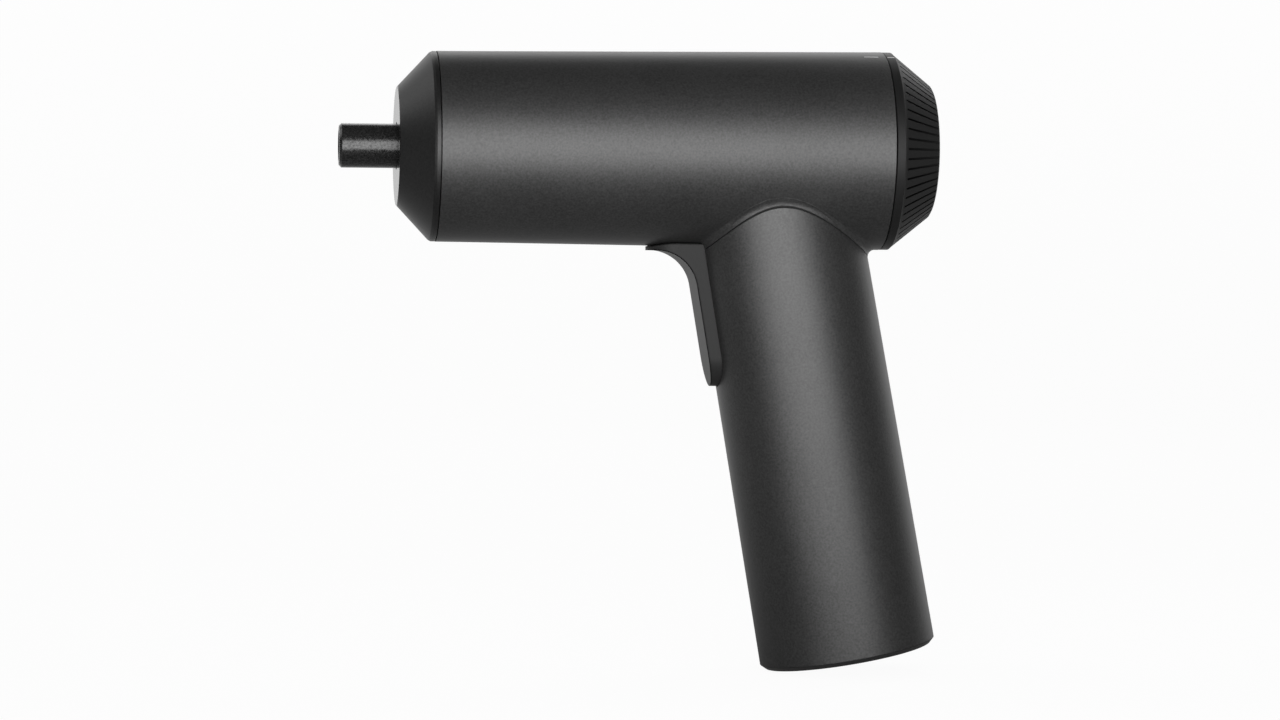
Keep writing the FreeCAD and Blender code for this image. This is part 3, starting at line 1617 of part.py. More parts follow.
cell = rod("cell", "cell_radius", "cell_start", "cell_end - cell_start", "0", "0", HANDLE)
cell_button = rod(
    "cell_button",
    "cell_button_radius",
    "cell_start - cell_button_height",
    "2 * cell_button_height",
    "0",
    "0",
    HANDLE,
)
battery_cell = keep(fuse("battery_cell", cell, cell_button))
tab_low = "0 - tab_height / 2"
tab_top_start = "cell_start - cell_button_height - tab_thickness"
tab_top = plate("tab_top", tab_top_start, "tab_thickness", "tab_width", tab_low, "tab_height", HANDLE)
tab_bottom = plate("tab_bottom", "cell_end", "tab_thickness", "tab_width", tab_low, "tab_height", HANDLE)
battery_tabs = keep(group("battery_tabs", tab_top, tab_bottom))

main_board = keep(
    plate(
        "main_board",
        "board_start",
        "board_end - board_start",
        "2 * board_half",
        "board_offset",
        "board_thickness",
        HANDLE,
    )
)


def chip(name, start, across, length, width):
    """Add one chip on the control board, with its middle across the board."""
    side = f"{across} - ({width}) / 2"
    return block(name, start, side, "chip_face", length, width, "chip_height", HANDLE)


control_start = "board_start + control_chip_drop"
chips = [chip("chip_control", control_start, "0", "control_chip_size", "min(control_chip_size; board_half)")]
for step in range(2):
    driver_start = f"board_start + driver_chip_drop + {step} * driver_chip_step"
    for side in (-1, 1):
        middle = f"{side} * board_half / 2.2"
        name = f"chip_driver_{len(chips)}"
        chips.append(chip(name, driver_start, middle, "driver_chip_length", "board_half / 2"))
chips.append(
    chip(
        "chip_charge",
        "board_end - charge_chip_rise",
        "0",
        "charge_chip_length",
        "min(charge_chip_width; board_half / 3)",
    )
)
board_chips = keep(group("board_chips", *chips))

usb_outer = slot_shape("usb_outer", "0", "usb_mouth - usb_length", "usb_length")
usb_inner = slot_shape("usb_inner", "usb_wall", "usb_mouth - usb_length + usb_back", "usb_length")
usb_shell = keep(cut("usb_shell", usb_outer, usb_inner))
usb_tongue = keep(
    plate(
        "usb_tongue",
        "usb_mouth - usb_length + usb_back",
        "usb_length - usb_back - tongue_set_back",
        "tongue_width",
        "usb_centre - tongue_thickness / 2",
        "tongue_thickness",
        HANDLE,
    )
)
charge_light = keep(
    rod(
        "charge_light",
        "light_radius",
        "board_end - light_tail",
        "base_face - board_end + light_tail - snug_gap",
        "light_across",
        "usb_centre",
        HANDLE,
    )
)

# Leads


def lead(name, corners, radius, bend):
    """Add a round lead through corners, each rounded with the same bend."""
    edges = []
    last = corners[0]
    for index in range(1, len(corners) - 1):
        corner = corners[index]
        back = (corners[index - 1] - corner).normalize()
        onward = (corners[index + 1] - corner).normalize()
        half = back.getAngle(onward) / 2.0
        inset = bend / math.tan(half)
        start = corner + back * inset
        end = corner + onward * inset
        crown = corner + (back + onward).normalize() * (bend / math.sin(half) - bend)
        edges.append(Part.LineSegment(last, start).toShape())
        edges.append(Part.Arc(start, crown, end).toShape())
        last = end
    edges.append(Part.LineSegment(last, corners[-1]).toShape())
    spine = Part.Wire(edges)
    section = Part.Wire(Part.makeCircle(radius, corners[0], corners[1] - corners[0]))
    item = doc.addObject("Part::Feature", name)
    item.Shape = Part.Solid(spine.makePipeShell([section], True, False))
    return item


def in_handle(down, across, back):
    """Return the place of a point given in the handle's own frame."""
    angle = math.radians(amount_of("handle_angle"))
    x = amount_of("handle_axis_x") + down * math.sin(angle) + back * math.cos(angle)
    z = -down * math.cos(angle) + back * math.sin(angle)
    return FreeCAD.Vector(x, across, z)


lead_top = amount_of("board_start - lead_drop")
board_top = amount_of("board_start")
lead_level = amount_of("lead_level")
lead_spread = amount_of("lead_spread")
lead_radius = amount_of("lead_radius")
lead_bend = amount_of("lead_bend")
lead_turn_x = amount_of("lead_turn_x")
tag_level = amount_of("tag_offset + tag_thickness / 2")
leads = []
for side in (1.0, -1.0):
    leads.append(
        lead(
            f"motor_lead_{len(leads) + 1}",
            [
                FreeCAD.Vector(amount_of("tag_end_x"), 0.0, side * tag_level),
                FreeCAD.Vector(lead_turn_x, 0.0, side * tag_level),
                in_handle(lead_top, side * lead_spread, lead_level),
                in_handle(board_top, side * lead_spread, lead_level),
            ],
            lead_radius,
            lead_bend,
        )
    )
motor_leads = keep(group("motor_leads", *leads))
hole_level = -amount_of("lead_hole_drop")
selector_lead = lead(
    "selector_lead",
    [
        FreeCAD.Vector(amount_of("rear_plate_end_x"), 0.0, hole_level),
        FreeCAD.Vector(amount_of("rear_ledge_x - lead_turn"), 0.0, hole_level),
        in_handle(lead_top, 0.0, lead_level),
        in_handle(board_top, 0.0, lead_level),
    ],
    lead_radius,
    lead_bend,
)
selector_leads = keep(group("selector_leads", selector_lead))

# Check every object and write the pieces

doc.recompute()
faults = []
for item in doc.Objects:
    if "Invalid" in item.State or "Error" in item.State:
        faults.append(f"{item.Label}: {item.State}")
for item in nodes:
    if item.Shape.isNull() or not item.Shape.isValid() or not item.Shape.Solids:
        faults.append(f"{item.Label}: bad shape")
if faults:
    raise RuntimeError("; ".join(faults))
os.makedirs("parts", exist_ok=True)
for item in nodes:
    item.Shape.exportStep(os.path.join("parts", item.Label + ".step"))
    box = item.Shape.BoundBox
    print(
        f"{item.Label}: {len(item.Shape.Solids)} solids, {item.Shape.Volume:.1f} mm3,"
        f" x {box.XMin:.1f} to {box.XMax:.1f}, y {box.YMin:.1f} to {box.YMax:.1f},"
        f" z {box.ZMin:.1f} to {box.ZMax:.1f}"
    )
print(f"{len(nodes)} pieces")
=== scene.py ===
"""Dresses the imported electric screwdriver, adds its neck band, ticks, spring and contacts, and lights it."""

import logging
import math
from collections.abc import Callable, Iterable, Iterator, Mapping
from contextlib import contextmanager
from dataclasses import dataclass
from enum import Enum

import bpy
from bpy.types import Material, Node, NodeSocket, NodeTree, Object, World
from mathutils import Matrix, Vector


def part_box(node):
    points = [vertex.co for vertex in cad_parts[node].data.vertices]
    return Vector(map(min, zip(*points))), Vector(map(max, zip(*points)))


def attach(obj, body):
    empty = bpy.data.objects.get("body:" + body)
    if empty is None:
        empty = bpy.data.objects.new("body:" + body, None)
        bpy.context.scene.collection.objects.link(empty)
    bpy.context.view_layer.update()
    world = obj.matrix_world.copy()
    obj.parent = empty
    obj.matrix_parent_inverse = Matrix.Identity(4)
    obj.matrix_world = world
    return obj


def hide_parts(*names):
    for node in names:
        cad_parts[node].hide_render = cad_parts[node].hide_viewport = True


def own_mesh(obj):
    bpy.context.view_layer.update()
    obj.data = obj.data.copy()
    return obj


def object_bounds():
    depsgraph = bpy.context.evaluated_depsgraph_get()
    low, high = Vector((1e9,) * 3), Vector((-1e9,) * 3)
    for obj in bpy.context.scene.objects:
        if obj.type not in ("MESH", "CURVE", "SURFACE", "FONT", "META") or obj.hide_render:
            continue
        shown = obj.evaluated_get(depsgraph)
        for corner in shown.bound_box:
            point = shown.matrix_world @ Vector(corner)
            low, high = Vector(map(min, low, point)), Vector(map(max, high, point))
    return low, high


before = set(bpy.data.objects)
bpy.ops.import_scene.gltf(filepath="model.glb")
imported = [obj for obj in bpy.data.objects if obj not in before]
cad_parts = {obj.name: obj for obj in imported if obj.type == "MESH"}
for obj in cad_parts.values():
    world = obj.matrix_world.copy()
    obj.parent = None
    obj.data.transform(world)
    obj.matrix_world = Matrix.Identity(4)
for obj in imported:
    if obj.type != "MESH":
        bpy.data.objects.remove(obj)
cad_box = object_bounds()

log = logging.getLogger("screwdriver")
MM = 0.001
# The handle's axis: its lean, and where it meets the spindle's axis, in millimetres from the holder's mouth.
HANDLE_LEAN = math.radians(10.1)
HANDLE_TOP_X = 102.3


class Body(Enum):
    """The bodies that new pieces ride on."""

    HOUSING = "housing"
    DIAL = "dial"


class Slot(Enum):
    """The material slots named for new pieces."""

    COAT = "housing_paint"
    BLACK_PLASTIC = "black_plastic"
    COPPER = "copper"
    STEEL = "steel"


def linear(hex_colour: str) -> tuple[float, float, float, float]:
    """Turns an sRGB hex colour to linear light.

    Args:
        hex_colour: Six hex digits after a hash sign.

    Returns:
        Red, green, blue and alpha.
    """
    channels = [int(hex_colour[i:i + 2], 16) / 255 for i in (1, 3, 5)]
    light = [c / 12.92 if c <= 0.04045 else ((c + 0.055) / 1.055) ** 2.4 for c in channels]
    return light[0], light[1], light[2], 1.0


BLACK = linear("#000000")
WHITE = linear("#ffffff")


def bare_tree(owner: Material | World) -> NodeTree:
    """Turns on the nodes of a material or a world and clears them.

    Args:
        owner: The material or the world.

    Returns:
        Its empty node tree.
    """
    owner.use_nodes = True
    owner.node_tree.nodes.clear()
    return owner.node_tree


def add_node(tree: NodeTree, kind: str, values: Mapping[str | int, object] | None = None,
             links: Mapping[str | int, NodeSocket] | None = None, **settings: object) -> Node:
    """Adds a shader node with its settings, input values and links.

    Args:
        tree: The node tree that the node joins.
        kind: The node's type name.
        values: Input values by socket name or number.
        links: Source sockets by input name or number.
        settings: Properties of the node itself.

    Returns:
        The new node.
    """
    node = tree.nodes.new(kind)
    for setting, choice in settings.items():
        setattr(node, setting, choice)
    for socket, value in (values or {}).items():
        node.inputs[socket].default_value = value
    for socket, source in (links or {}).items():
        tree.links.new(source, node.inputs[socket])
    return node


@dataclass(frozen=True)
class Finish:
    """A surface: its two grain colours, its gloss, its grain and how far its edges are rounded."""

    name: str
    dark: str
    light: str
    rough: tuple[float, float]
    grain_mm: float
    relief_mm: float
    metallic: float = 0.0
    specular: float = 0.5
    detail: float = 3.0
    edge_mm: float = 0.0
    edge_samples: int = 6

    def grain(self, tree: NodeTree, place: NodeSocket) -> NodeSocket:
        """Draws the grain.

        Args:
            tree: The material's node tree.
            place: Object coordinates.

        Returns:
            A factor from 0, dark, to 1, light.
        """
        noise = add_node(tree, "ShaderNodeTexNoise",
                         {"Scale": 1 / (self.grain_mm * MM), "Detail": self.detail}, {"Vector": place})
        return noise.outputs["Fac"]

    def make(self) -> Material:
        """Builds the material, or returns it if it was built before.

        Returns:
            The material.
        """
        known = bpy.data.materials.get(self.name)
        if known:
            return known
        material = bpy.data.materials.new(self.name)
        tree = bare_tree(material)
        place = add_node(tree, "ShaderNodeTexCoord").outputs["Object"]
        grain = self.grain(tree, place)
        colour = add_node(tree, "ShaderNodeMixRGB",
                          {"Color1": linear(self.dark), "Color2": linear(self.light)}, {"Fac": grain})
        rough = add_node(tree, "ShaderNodeMapRange", {"To Min": self.rough[0], "To Max": self.rough[1]},
                         {"Value": grain})
        bump = add_node(tree, "ShaderNodeBump", {"Strength": 1.0, "Distance": self.relief_mm * MM},
                        {"Height": grain})
        if self.edge_mm:
            edge = add_node(tree, "ShaderNodeBevel", {"Radius": self.edge_mm * MM}, samples=self.edge_samples)
            tree.links.new(edge.outputs["Normal"], bump.inputs["Normal"])
        shader = add_node(tree, "ShaderNodeBsdfPrincipled",
                          {"Metallic": self.metallic, "Specular IOR Level": self.specular},
                          {"Base Color": colour.outputs["Color"], "Roughness": rough.outputs["Result"],
                           "Normal": bump.outputs["Normal"]})
        self.tune(tree, shader)
        add_node(tree, "ShaderNodeOutputMaterial", links={"Surface": shader.outputs["BSDF"]})
        return material

    def tune(self, tree: NodeTree, shader: Node) -> None:
        """Sets what else the shader of this finish needs, which is nothing here."""

    def dull(self, tree: NodeTree, shader: Node, keep: NodeSocket, dark: str) -> None:
        """Paints shade: takes the shader's colour to a darker one, and its shine away, where a factor falls.

        Args:
            tree: The material's node tree.
            shader: The shader.
            keep: The factor, from 0, full painted shade, dark and dull, to 1, as it was.
            dark: The painted shade's colour.
        """
        colour = shader.inputs["Base Color"].links[0].from_socket
        shaded = add_node(tree, "ShaderNodeMixRGB", {"Color1": linear(dark)}, {"Fac": keep, "Color2": colour})
        tree.links.new(shaded.outputs["Color"], shader.inputs["Base Color"])
        tree.links.new(keep, shader.inputs["Specular Tint"])


@dataclass(frozen=True)
class SprayedCoat(Finish):
    """A sprayed metallic coat, whose flakes glint one by one over a faint cloudiness."""

    detail: float = 1.0
    cloud_mm: float = 14.0
    cloud_detail: float = 2.0
    flake_share: float = 0.8
    spread_from: float = 0.25
    spread_to: float = 0.75

    def grain(self, tree: NodeTree, place: NodeSocket) -> NodeSocket:
        """Draws flakes and clouds.

        Args:
            tree: The material's node tree.
            place: Object coordinates.

        Returns:
            A factor from 0, dark, to 1, light.
        """
        flakes = super().grain(tree, place)
        clouds = add_node(tree, "ShaderNodeTexNoise",
                          {"Scale": 1 / (self.cloud_mm * MM), "Detail": self.cloud_detail}, {"Vector": place})
        both = add_node(tree, "ShaderNodeMixRGB", {"Fac": self.flake_share},
                        {"Color1": clouds.outputs["Fac"], "Color2": flakes})
        spread = add_node(tree, "ShaderNodeMapRange",
                          {"From Min": self.spread_from, "From Max": self.spread_to},
                          {"Value": both.outputs["Color"]})
        return spread.outputs["Result"]


@dataclass(frozen=True)
class FacedCoat(SprayedCoat):
    """A sprayed coat on a cap whose flat front face is polished. Place along the spindle in millimetres."""

    face_x: float = 13.8
    face_blend: float = 0.1
    face_rough: float = 0.2

    def tune(self, tree: NodeTree, shader: Node) -> None:
        """Makes the front face smoother than the rest.

        Args:
            tree: The material's node tree.
            shader: The shader.
        """
        place = add_node(tree, "ShaderNodeTexCoord").outputs["Object"]
        apart = add_node(tree, "ShaderNodeSeparateXYZ", links={"Vector": place})
        behind = add_node(tree, "ShaderNodeMapRange",
                          {"From Min": self.face_x * MM, "From Max": (self.face_x + self.face_blend) * MM},
                          {"Value": apart.outputs["X"]})
        coat = shader.inputs["Roughness"].links[0].from_socket
        rough = add_node(tree, "ShaderNodeMix", {"A": self.face_rough},
                         {"Factor": behind.outputs["Result"], "B": coat})
        tree.links.new(rough.outputs["Result"], shader.inputs["Roughness"])


@dataclass(frozen=True)
class EdgeShadedMoulding(Finish):
    """A moulding with a fine dark, dull line of painted shade along each sharp edge."""

    # line is the colour of the painted shade along the edges.
    line: str = "#0a0a0a"
    line_mm: float = 0.9
    line_samples: int = 8
    sharp: float = 0.9
    plain: float = 0.99

    def tune(self, tree: NodeTree, shader: Node) -> None:
        """Paints shade along the edges: darkens and dulls the shader where a rounded edge's normal leaves the
        flat one.

        Args:
            tree: The material's node tree.
            shader: The shader.
        """
        rounded = add_node(tree, "ShaderNodeBevel", {"Radius": self.line_mm * MM}, samples=self.line_samples)
        flat = add_node(tree, "ShaderNodeNewGeometry")
        turn = add_node(tree, "ShaderNodeVectorMath",
                        links={0: rounded.outputs["Normal"], 1: flat.outputs["Normal"]},
                        operation="DOT_PRODUCT")
        away = add_node(tree, "ShaderNodeMapRange", {"From Min": self.sharp, "From Max": self.plain},
                        {"Value": turn.outputs["Value"]})
        self.dull(tree, shader, away.outputs["Result"], self.line)


@dataclass(frozen=True)
class GrooveShadedMoulding(Finish):
    """A moulding with painted shade in its grooves, which leaves them darker and duller than its ridges."""

    # The colour of the painted shade in the grooves.
    groove_shade: str = "#000000"
    reach_mm: float = 1.2
    reach_samples: int = 8
    shut: float = 0.0
    clear: float = 0.95

    def tune(self, tree: NodeTree, shader: Node) -> None:
        """Paints shade in hollows: darkens and dulls the shader there.

        Args:
            tree: The material's node tree.
            shader: The shader.
        """
        hollow = add_node(tree, "ShaderNodeAmbientOcclusion", {"Distance": self.reach_mm * MM},
                          samples=self.reach_samples, only_local=True)
        ridge = add_node(tree, "ShaderNodeMapRange", {"From Min": self.shut, "From Max": self.clear},
                         {"Value": hollow.outputs["AO"]})
        self.dull(tree, shader, ridge.outputs["Result"], self.groove_shade)


@dataclass(frozen=True)
class DrawnSurface(Finish):
    """A surface with lines: turned, brushed, ground or stretched, each axis drawn out by its own share."""

    detail: float = 4.0
    stretch: tuple[float, float, float] = (1.0, 0.05, 0.05)

    def grain(self, tree: NodeTree, place: NodeSocket) -> NodeSocket:
        """Draws the lines.

        Args:
            tree: The material's node tree.
            place: Object coordinates.

        Returns:
            A factor from 0, dark, to 1, light.
        """
        scale = tuple(share / (self.grain_mm * MM) for share in self.stretch)
        lines = add_node(tree, "ShaderNodeMapping", {"Scale": scale}, {"Vector": place})
        noise = add_node(tree, "ShaderNodeTexNoise", {"Scale": 1.0, "Detail": self.detail},
                         {"Vector": lines.outputs["Vector"]})
        return noise.outputs["Fac"]


@dataclass(frozen=True)
class PittedMetal(Finish):
    """Cast or sintered metal, with the rounded cells or the pores that the process leaves."""

    pit_floor: float = 0.05
    pit_rim: float = 0.45

    def grain(self, tree: NodeTree, place: NodeSocket) -> NodeSocket:
        """Draws the cells.

        Args:
            tree: The material's node tree.
            place: Object coordinates.

        Returns:
            A factor from 0, in a pit, to 1, between pits.
        """
        cells = add_node(tree, "ShaderNodeTexVoronoi", {"Scale": 1 / (self.grain_mm * MM)}, {"Vector": place})
        pits = add_node(tree, "ShaderNodeMapRange", {"From Min": self.pit_floor, "From Max": self.pit_rim},
                        {"Value": cells.outputs["Distance"]})
        return pits.outputs["Result"]


@dataclass(frozen=True)
class StackedSheets(Finish):
    """A stack of stamped sheets, whose edges show as fine bands along the shaft."""

    waviness: float = 0.3

    def grain(self, tree: NodeTree, place: NodeSocket) -> NodeSocket:
        """Draws the sheets' edges.

        Args:
            tree: The material's node tree.
            place: Object coordinates.

        Returns:
            A factor from 0, in a gap, to 1, on a sheet.
        """
        # A wave texture of scale 1 repeats after this many metres.
        band_at_scale_one = math.pi / 10
        bands = add_node(tree, "ShaderNodeTexWave",
                         {"Scale": band_at_scale_one / (self.grain_mm * MM), "Distortion": self.waviness},
                         {"Vector": place}, bands_direction="X")
        return bands.outputs["Fac"]


@dataclass(frozen=True)
class PrintedBoard(Finish):
    """Solder mask over copper tracks, which stand out a little lighter in straight runs."""

    track_share: float = 0.03
    mottle: float = 0.15

    def grain(self, tree: NodeTree, place: NodeSocket) -> NodeSocket:
        """Draws the tracks.

        Args:
            tree: The material's node tree.
            place: Object coordinates.

        Returns:
            A factor from 0, bare board, to 1, over a track.
        """
        tracks = add_node(tree, "ShaderNodeTexBrick",
                          {"Scale": 1 / (self.grain_mm * MM), "Mortar Size": self.track_share,
                           "Color1": BLACK, "Color2": (self.mottle, self.mottle, self.mottle, 1.0),
                           "Mortar": WHITE},
                          {"Vector": place})
        return tracks.outputs["Color"]


@dataclass(frozen=True)
class ClearMoulding(Finish):
    """A clear moulding, frosted a little so that a light behind it spreads."""

    clearness: float = 0.85

    def tune(self, tree: NodeTree, shader: Node) -> None:
        """Lets light through the moulding."""
        shader.inputs["Transmission Weight"].default_value = self.clearness


# ABS sprayed with a matt metallic paint: a dark grey that glints in fine flakes, with a broad soft shine.
# The flakes are 0.05 mm, and are drawn at 0.5 mm so that they show.
METALLIC_COAT = SprayedCoat("metallic_matt_coat_sprayed_on_abs", dark="#404040", light="#535353",
                            rough=(0.44, 0.50), grain_mm=0.5, relief_mm=0.004, metallic=0.8, edge_mm=0.15)
# The same coat on the nose cap, finer, with its flat front face polished so that it mirrors what it faces.
NOSE_COAT = FacedCoat("metallic_satin_coat_sprayed_on_abs", dark="#363636", light="#414141",
                      rough=(0.42, 0.46), grain_mm=0.5, relief_mm=0.002, metallic=0.9, edge_mm=0.2)
# Glass-filled nylon from a spark-eroded mould: near black, with a fine dull grain, and painted shade that
# makes its grooves blacker.
DIAL_NYLON = GrooveShadedMoulding("black_nylon_moulded_spark_eroded", dark="#121212", light="#191919",
                             rough=(0.42, 0.55), grain_mm=0.4, relief_mm=0.006, specular=0.22, edge_mm=0.12)
# ABS from a lightly textured mould: dark grey and even, smoother than the coat, with a dark line of painted
# shade along its edges.
TRIGGER_ABS = EdgeShadedMoulding("dark_grey_abs_moulded_satin", dark="#222222", light="#262626",
                            rough=(0.44, 0.52), grain_mm=0.45, relief_mm=0.004, specular=0.16, edge_mm=0.15)
# Black ABS from a polished mould for the base cap and the dial's cap, with a satin shine.
BASE_ABS = Finish("black_abs_moulded_satin", dark="#1e1e1e", light="#262626", rough=(0.36, 0.44),
                  grain_mm=0.45, relief_mm=0.004, edge_mm=0.15)
# Black nylon inside, left dull as it comes from the mould.
INNER_NYLON = Finish("black_nylon_moulded_plain", dark="#151515", light="#202020", rough=(0.5, 0.65),
                     grain_mm=0.6, relief_mm=0.01)
# Natural nylon: milky, a little waxy.
NATURAL_NYLON = Finish("natural_nylon_moulded", dark="#c9c5b8", light="#d8d5ca", rough=(0.35, 0.45),
                       grain_mm=1.2, relief_mm=0.006)
# Steel, blasted and chemically blackened: near black, with a sharp shine broken up by a fine speckle.
# The speckle is 0.1 mm, and is drawn at 0.45 mm so that it shows.
BLACK_STEEL = SprayedCoat("black_oxide_steel_blasted", dark="#2a2a2a", light="#4b4b4b", rough=(0.20, 0.32),
                          grain_mm=0.45, relief_mm=0.006, metallic=0.8, edge_mm=0.25, flake_share=1.0)
# Bare steel, turned or hobbed: bright grey with fine rings.
TURNED_STEEL = DrawnSurface("carbon_steel_turned", dark="#8f8f90", light="#b4b4b5", rough=(0.25, 0.38),
                            grain_mm=0.25, relief_mm=0.002, metallic=1.0)
# Spring wire, drawn: lines along the wire.
SPRING_STEEL = DrawnSurface("spring_steel_wire_drawn", dark="#7d7d80", light="#a8a8aa", rough=(0.22, 0.34),
                            grain_mm=0.3, relief_mm=0.002, metallic=1.0, stretch=(0.3, 1.0, 1.0))
# Sheet steel, nickel plated after pressing: bright, with the rolled lines still there.
PLATED_SHEET = DrawnSurface("nickel_plated_sheet_steel_pressed", dark="#a9a59c", light="#c6c3bb",
                            rough=(0.2, 0.3), grain_mm=0.4, relief_mm=0.002, metallic=1.0,
                            stretch=(0.05, 1.0, 1.0))
# Zinc alloy, die cast: dull grey with rounded grain.
CAST_ZINC = PittedMetal("zinc_alloy_die_cast", dark="#7e7f82", light="#9b9c9f", rough=(0.4, 0.55),
                        grain_mm=0.8, relief_mm=0.02, metallic=1.0)
# Bronze, pressed from powder and sintered: brown, with dark oil-filled pores.
SINTERED_BRONZE = PittedMetal("bronze_sintered", dark="#5a3d20", light="#a77c49", rough=(0.4, 0.55),
                              grain_mm=0.35, relief_mm=0.01, metallic=1.0)
# Ferrite, sintered and ground: dark grey and dull.
FERRITE = Finish("ferrite_sintered_ground", dark="#2c2c2f", light="#3b3b3e", rough=(0.5, 0.65),
                 grain_mm=0.5, relief_mm=0.006)
# Electrical steel sheets, stamped and stacked: 0.5 mm bands.
LAMINATIONS = StackedSheets("electrical_steel_stamped_stacked", dark="#4b4642", light="#8b857f",
                            rough=(0.35, 0.5), grain_mm=0.5, relief_mm=0.02, metallic=1.0)
# Copper strip, rolled: pink-brown and bright.
COPPER_STRIP = DrawnSurface("copper_alloy_strip_rolled", dark="#9a5b36", light="#c78458",
                            rough=(0.22, 0.34), grain_mm=0.3, relief_mm=0.002, metallic=1.0,
                            stretch=(0.1, 1.0, 0.1))
# Gold flash over nickel on the socket's contacts: pale yellow and smooth.
GOLD_FLASH = DrawnSurface("gold_flash_plated", dark="#b58b3c", light="#d6b060", rough=(0.18, 0.28),
                          grain_mm=0.3, relief_mm=0.001, metallic=1.0)
# Carbon, pressed into brushes: black and sooty.
PRESSED_CARBON = Finish("carbon_pressed", dark="#101010", light="#1c1c1c", rough=(0.7, 0.85), grain_mm=0.3,
                        relief_mm=0.01)
# Glass-epoxy board under green solder mask, with tracks 2 mm apart.
GREEN_BOARD = PrintedBoard("glass_epoxy_board_solder_masked", dark="#0d3a20", light="#1c5a34",
                           rough=(0.25, 0.35), grain_mm=2.0, relief_mm=0.03)
# Epoxy chip packages, moulded: near black, with a dull grain.
CHIP_EPOXY = Finish("epoxy_package_moulded", dark="#121213", light="#1d1d1f", rough=(0.5, 0.65),
                    grain_mm=0.25, relief_mm=0.006)
# PVC sleeve, shrunk onto the cell: blue and glossy, drawn tight round it.
SHRINK_SLEEVE = DrawnSurface("pvc_sleeve_shrunk", dark="#1c3c5e", light="#2a5078", rough=(0.18, 0.28),
                             grain_mm=3.0, relief_mm=0.02, stretch=(0.3, 1.0, 0.3))
# Silicone insulation, extruded: red and faintly glossy.
LEAD_SILICONE = Finish("silicone_insulation_extruded", dark="#7a1414", light="#931d1d", rough=(0.4, 0.5),
                       grain_mm=0.8, relief_mm=0.004)
# Clear acrylic, moulded and frosted on its end.
FROSTED_ACRYLIC = ClearMoulding("acrylic_moulded_frosted", dark="#dfe3e4", light="#f2f4f4",
                                rough=(0.2, 0.35), grain_mm=0.4, relief_mm=0.006)
# Pad-printed ink: light grey, a little uneven where the pad let go.
PRINT_INK = Finish("pad_print_ink_light_grey", dark="#a2a2a2", light="#b8b8b8", rough=(0.45, 0.6),
                   grain_mm=0.3, relief_mm=0.002)


def start_piece(name: str, add: Callable[..., object], **shape: object) -> Object:
    """Deselects everything and adds a primitive as the start of a piece.

    Args:
        name: The piece's name.
        add: The operator that adds the primitive.
        shape: The operator's sizes and place, in metres.

    Returns:
        The new, active object.
    """
    bpy.ops.object.select_all(action="DESELECT")
    add(**shape)
    piece = bpy.context.active_object
    piece.name = name
    piece.data.name = name
    return piece


def settle(piece: Object) -> None:
    """Puts a piece's place, turn and scale into its mesh.

    Args:
        piece: The piece, which becomes the active one.
    """
    bpy.ops.object.select_all(action="DESELECT")
    piece.select_set(True)
    bpy.context.view_layer.objects.active = piece
    bpy.ops.object.transform_apply(location=True, rotation=True, scale=True)


@contextmanager
def edit_mode() -> Iterator[None]:
    """Opens the active piece in edit mode, selected all over, and goes back to object mode at the end.

    Yields:
        Nothing.
    """
    bpy.ops.object.mode_set(mode="EDIT")
    bpy.ops.mesh.select_all(action="SELECT")
    yield
    bpy.ops.object.mode_set(mode="OBJECT")


def select_edges(piece: Object, chosen: Callable[[Vector], bool]) -> None:
    """Selects, in edit mode, the edges whose two ends are both chosen.

    Args:
        piece: The object in edit mode.
        chosen: Says whether an end belongs to an edge that is wanted.
    """
    bpy.ops.mesh.select_all(action="DESELECT")
    bpy.ops.object.mode_set(mode="OBJECT")
    ends = piece.data.vertices
    for edge in piece.data.edges:
        edge.select = all(chosen(ends[i].co) for i in edge.vertices)
    bpy.ops.object.mode_set(mode="EDIT")


def apply_modifier(piece: Object, name: str, kind: str, **settings: object) -> None:
    """Adds a modifier to the active piece and applies it.

    Args:
        piece: The piece, which is active.
        name: The modifier's name.
        kind: The modifier's type.
        settings: The modifier's properties.
    """
    modifier = piece.modifiers.new(name, kind)
    for setting, value in settings.items():
        setattr(modifier, setting, value)
    bpy.ops.object.modifier_apply(modifier=name)


class Assembly:
    """A sub-assembly: it dresses its CAD nodes and adds its own pieces."""

    def finishes(self) -> Mapping[Finish, Iterable[str]]:
        """Gives the CAD nodes that each finish goes on."""
        return {}

    def build(self) -> None:
        """Adds the sub-assembly's own pieces, which are none here."""

    def dress(self) -> None:
        """Puts the finishes on the CAD nodes."""
        for finish, names in self.finishes().items():
            for name in names:
                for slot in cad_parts[name].material_slots:
                    slot.material = finish.make()
                log.info("dressed %s in %s", name, finish.name)

    def add(self, piece: Object, finish: Finish, body: Body, slot: Slot) -> None:
        """Dresses a new piece and hangs it on its body.

        Args:
            piece: The finished piece.
            finish: What it is dressed in.
            body: The body that it rides on.
            slot: The material slot named for the piece; not used.
        """
        piece.data.materials.clear()
        piece.data.materials.append(finish.make())
        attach(piece, body.value)
        log.info("added %s in %s, riding on %s", piece.name, finish.name, body.value)


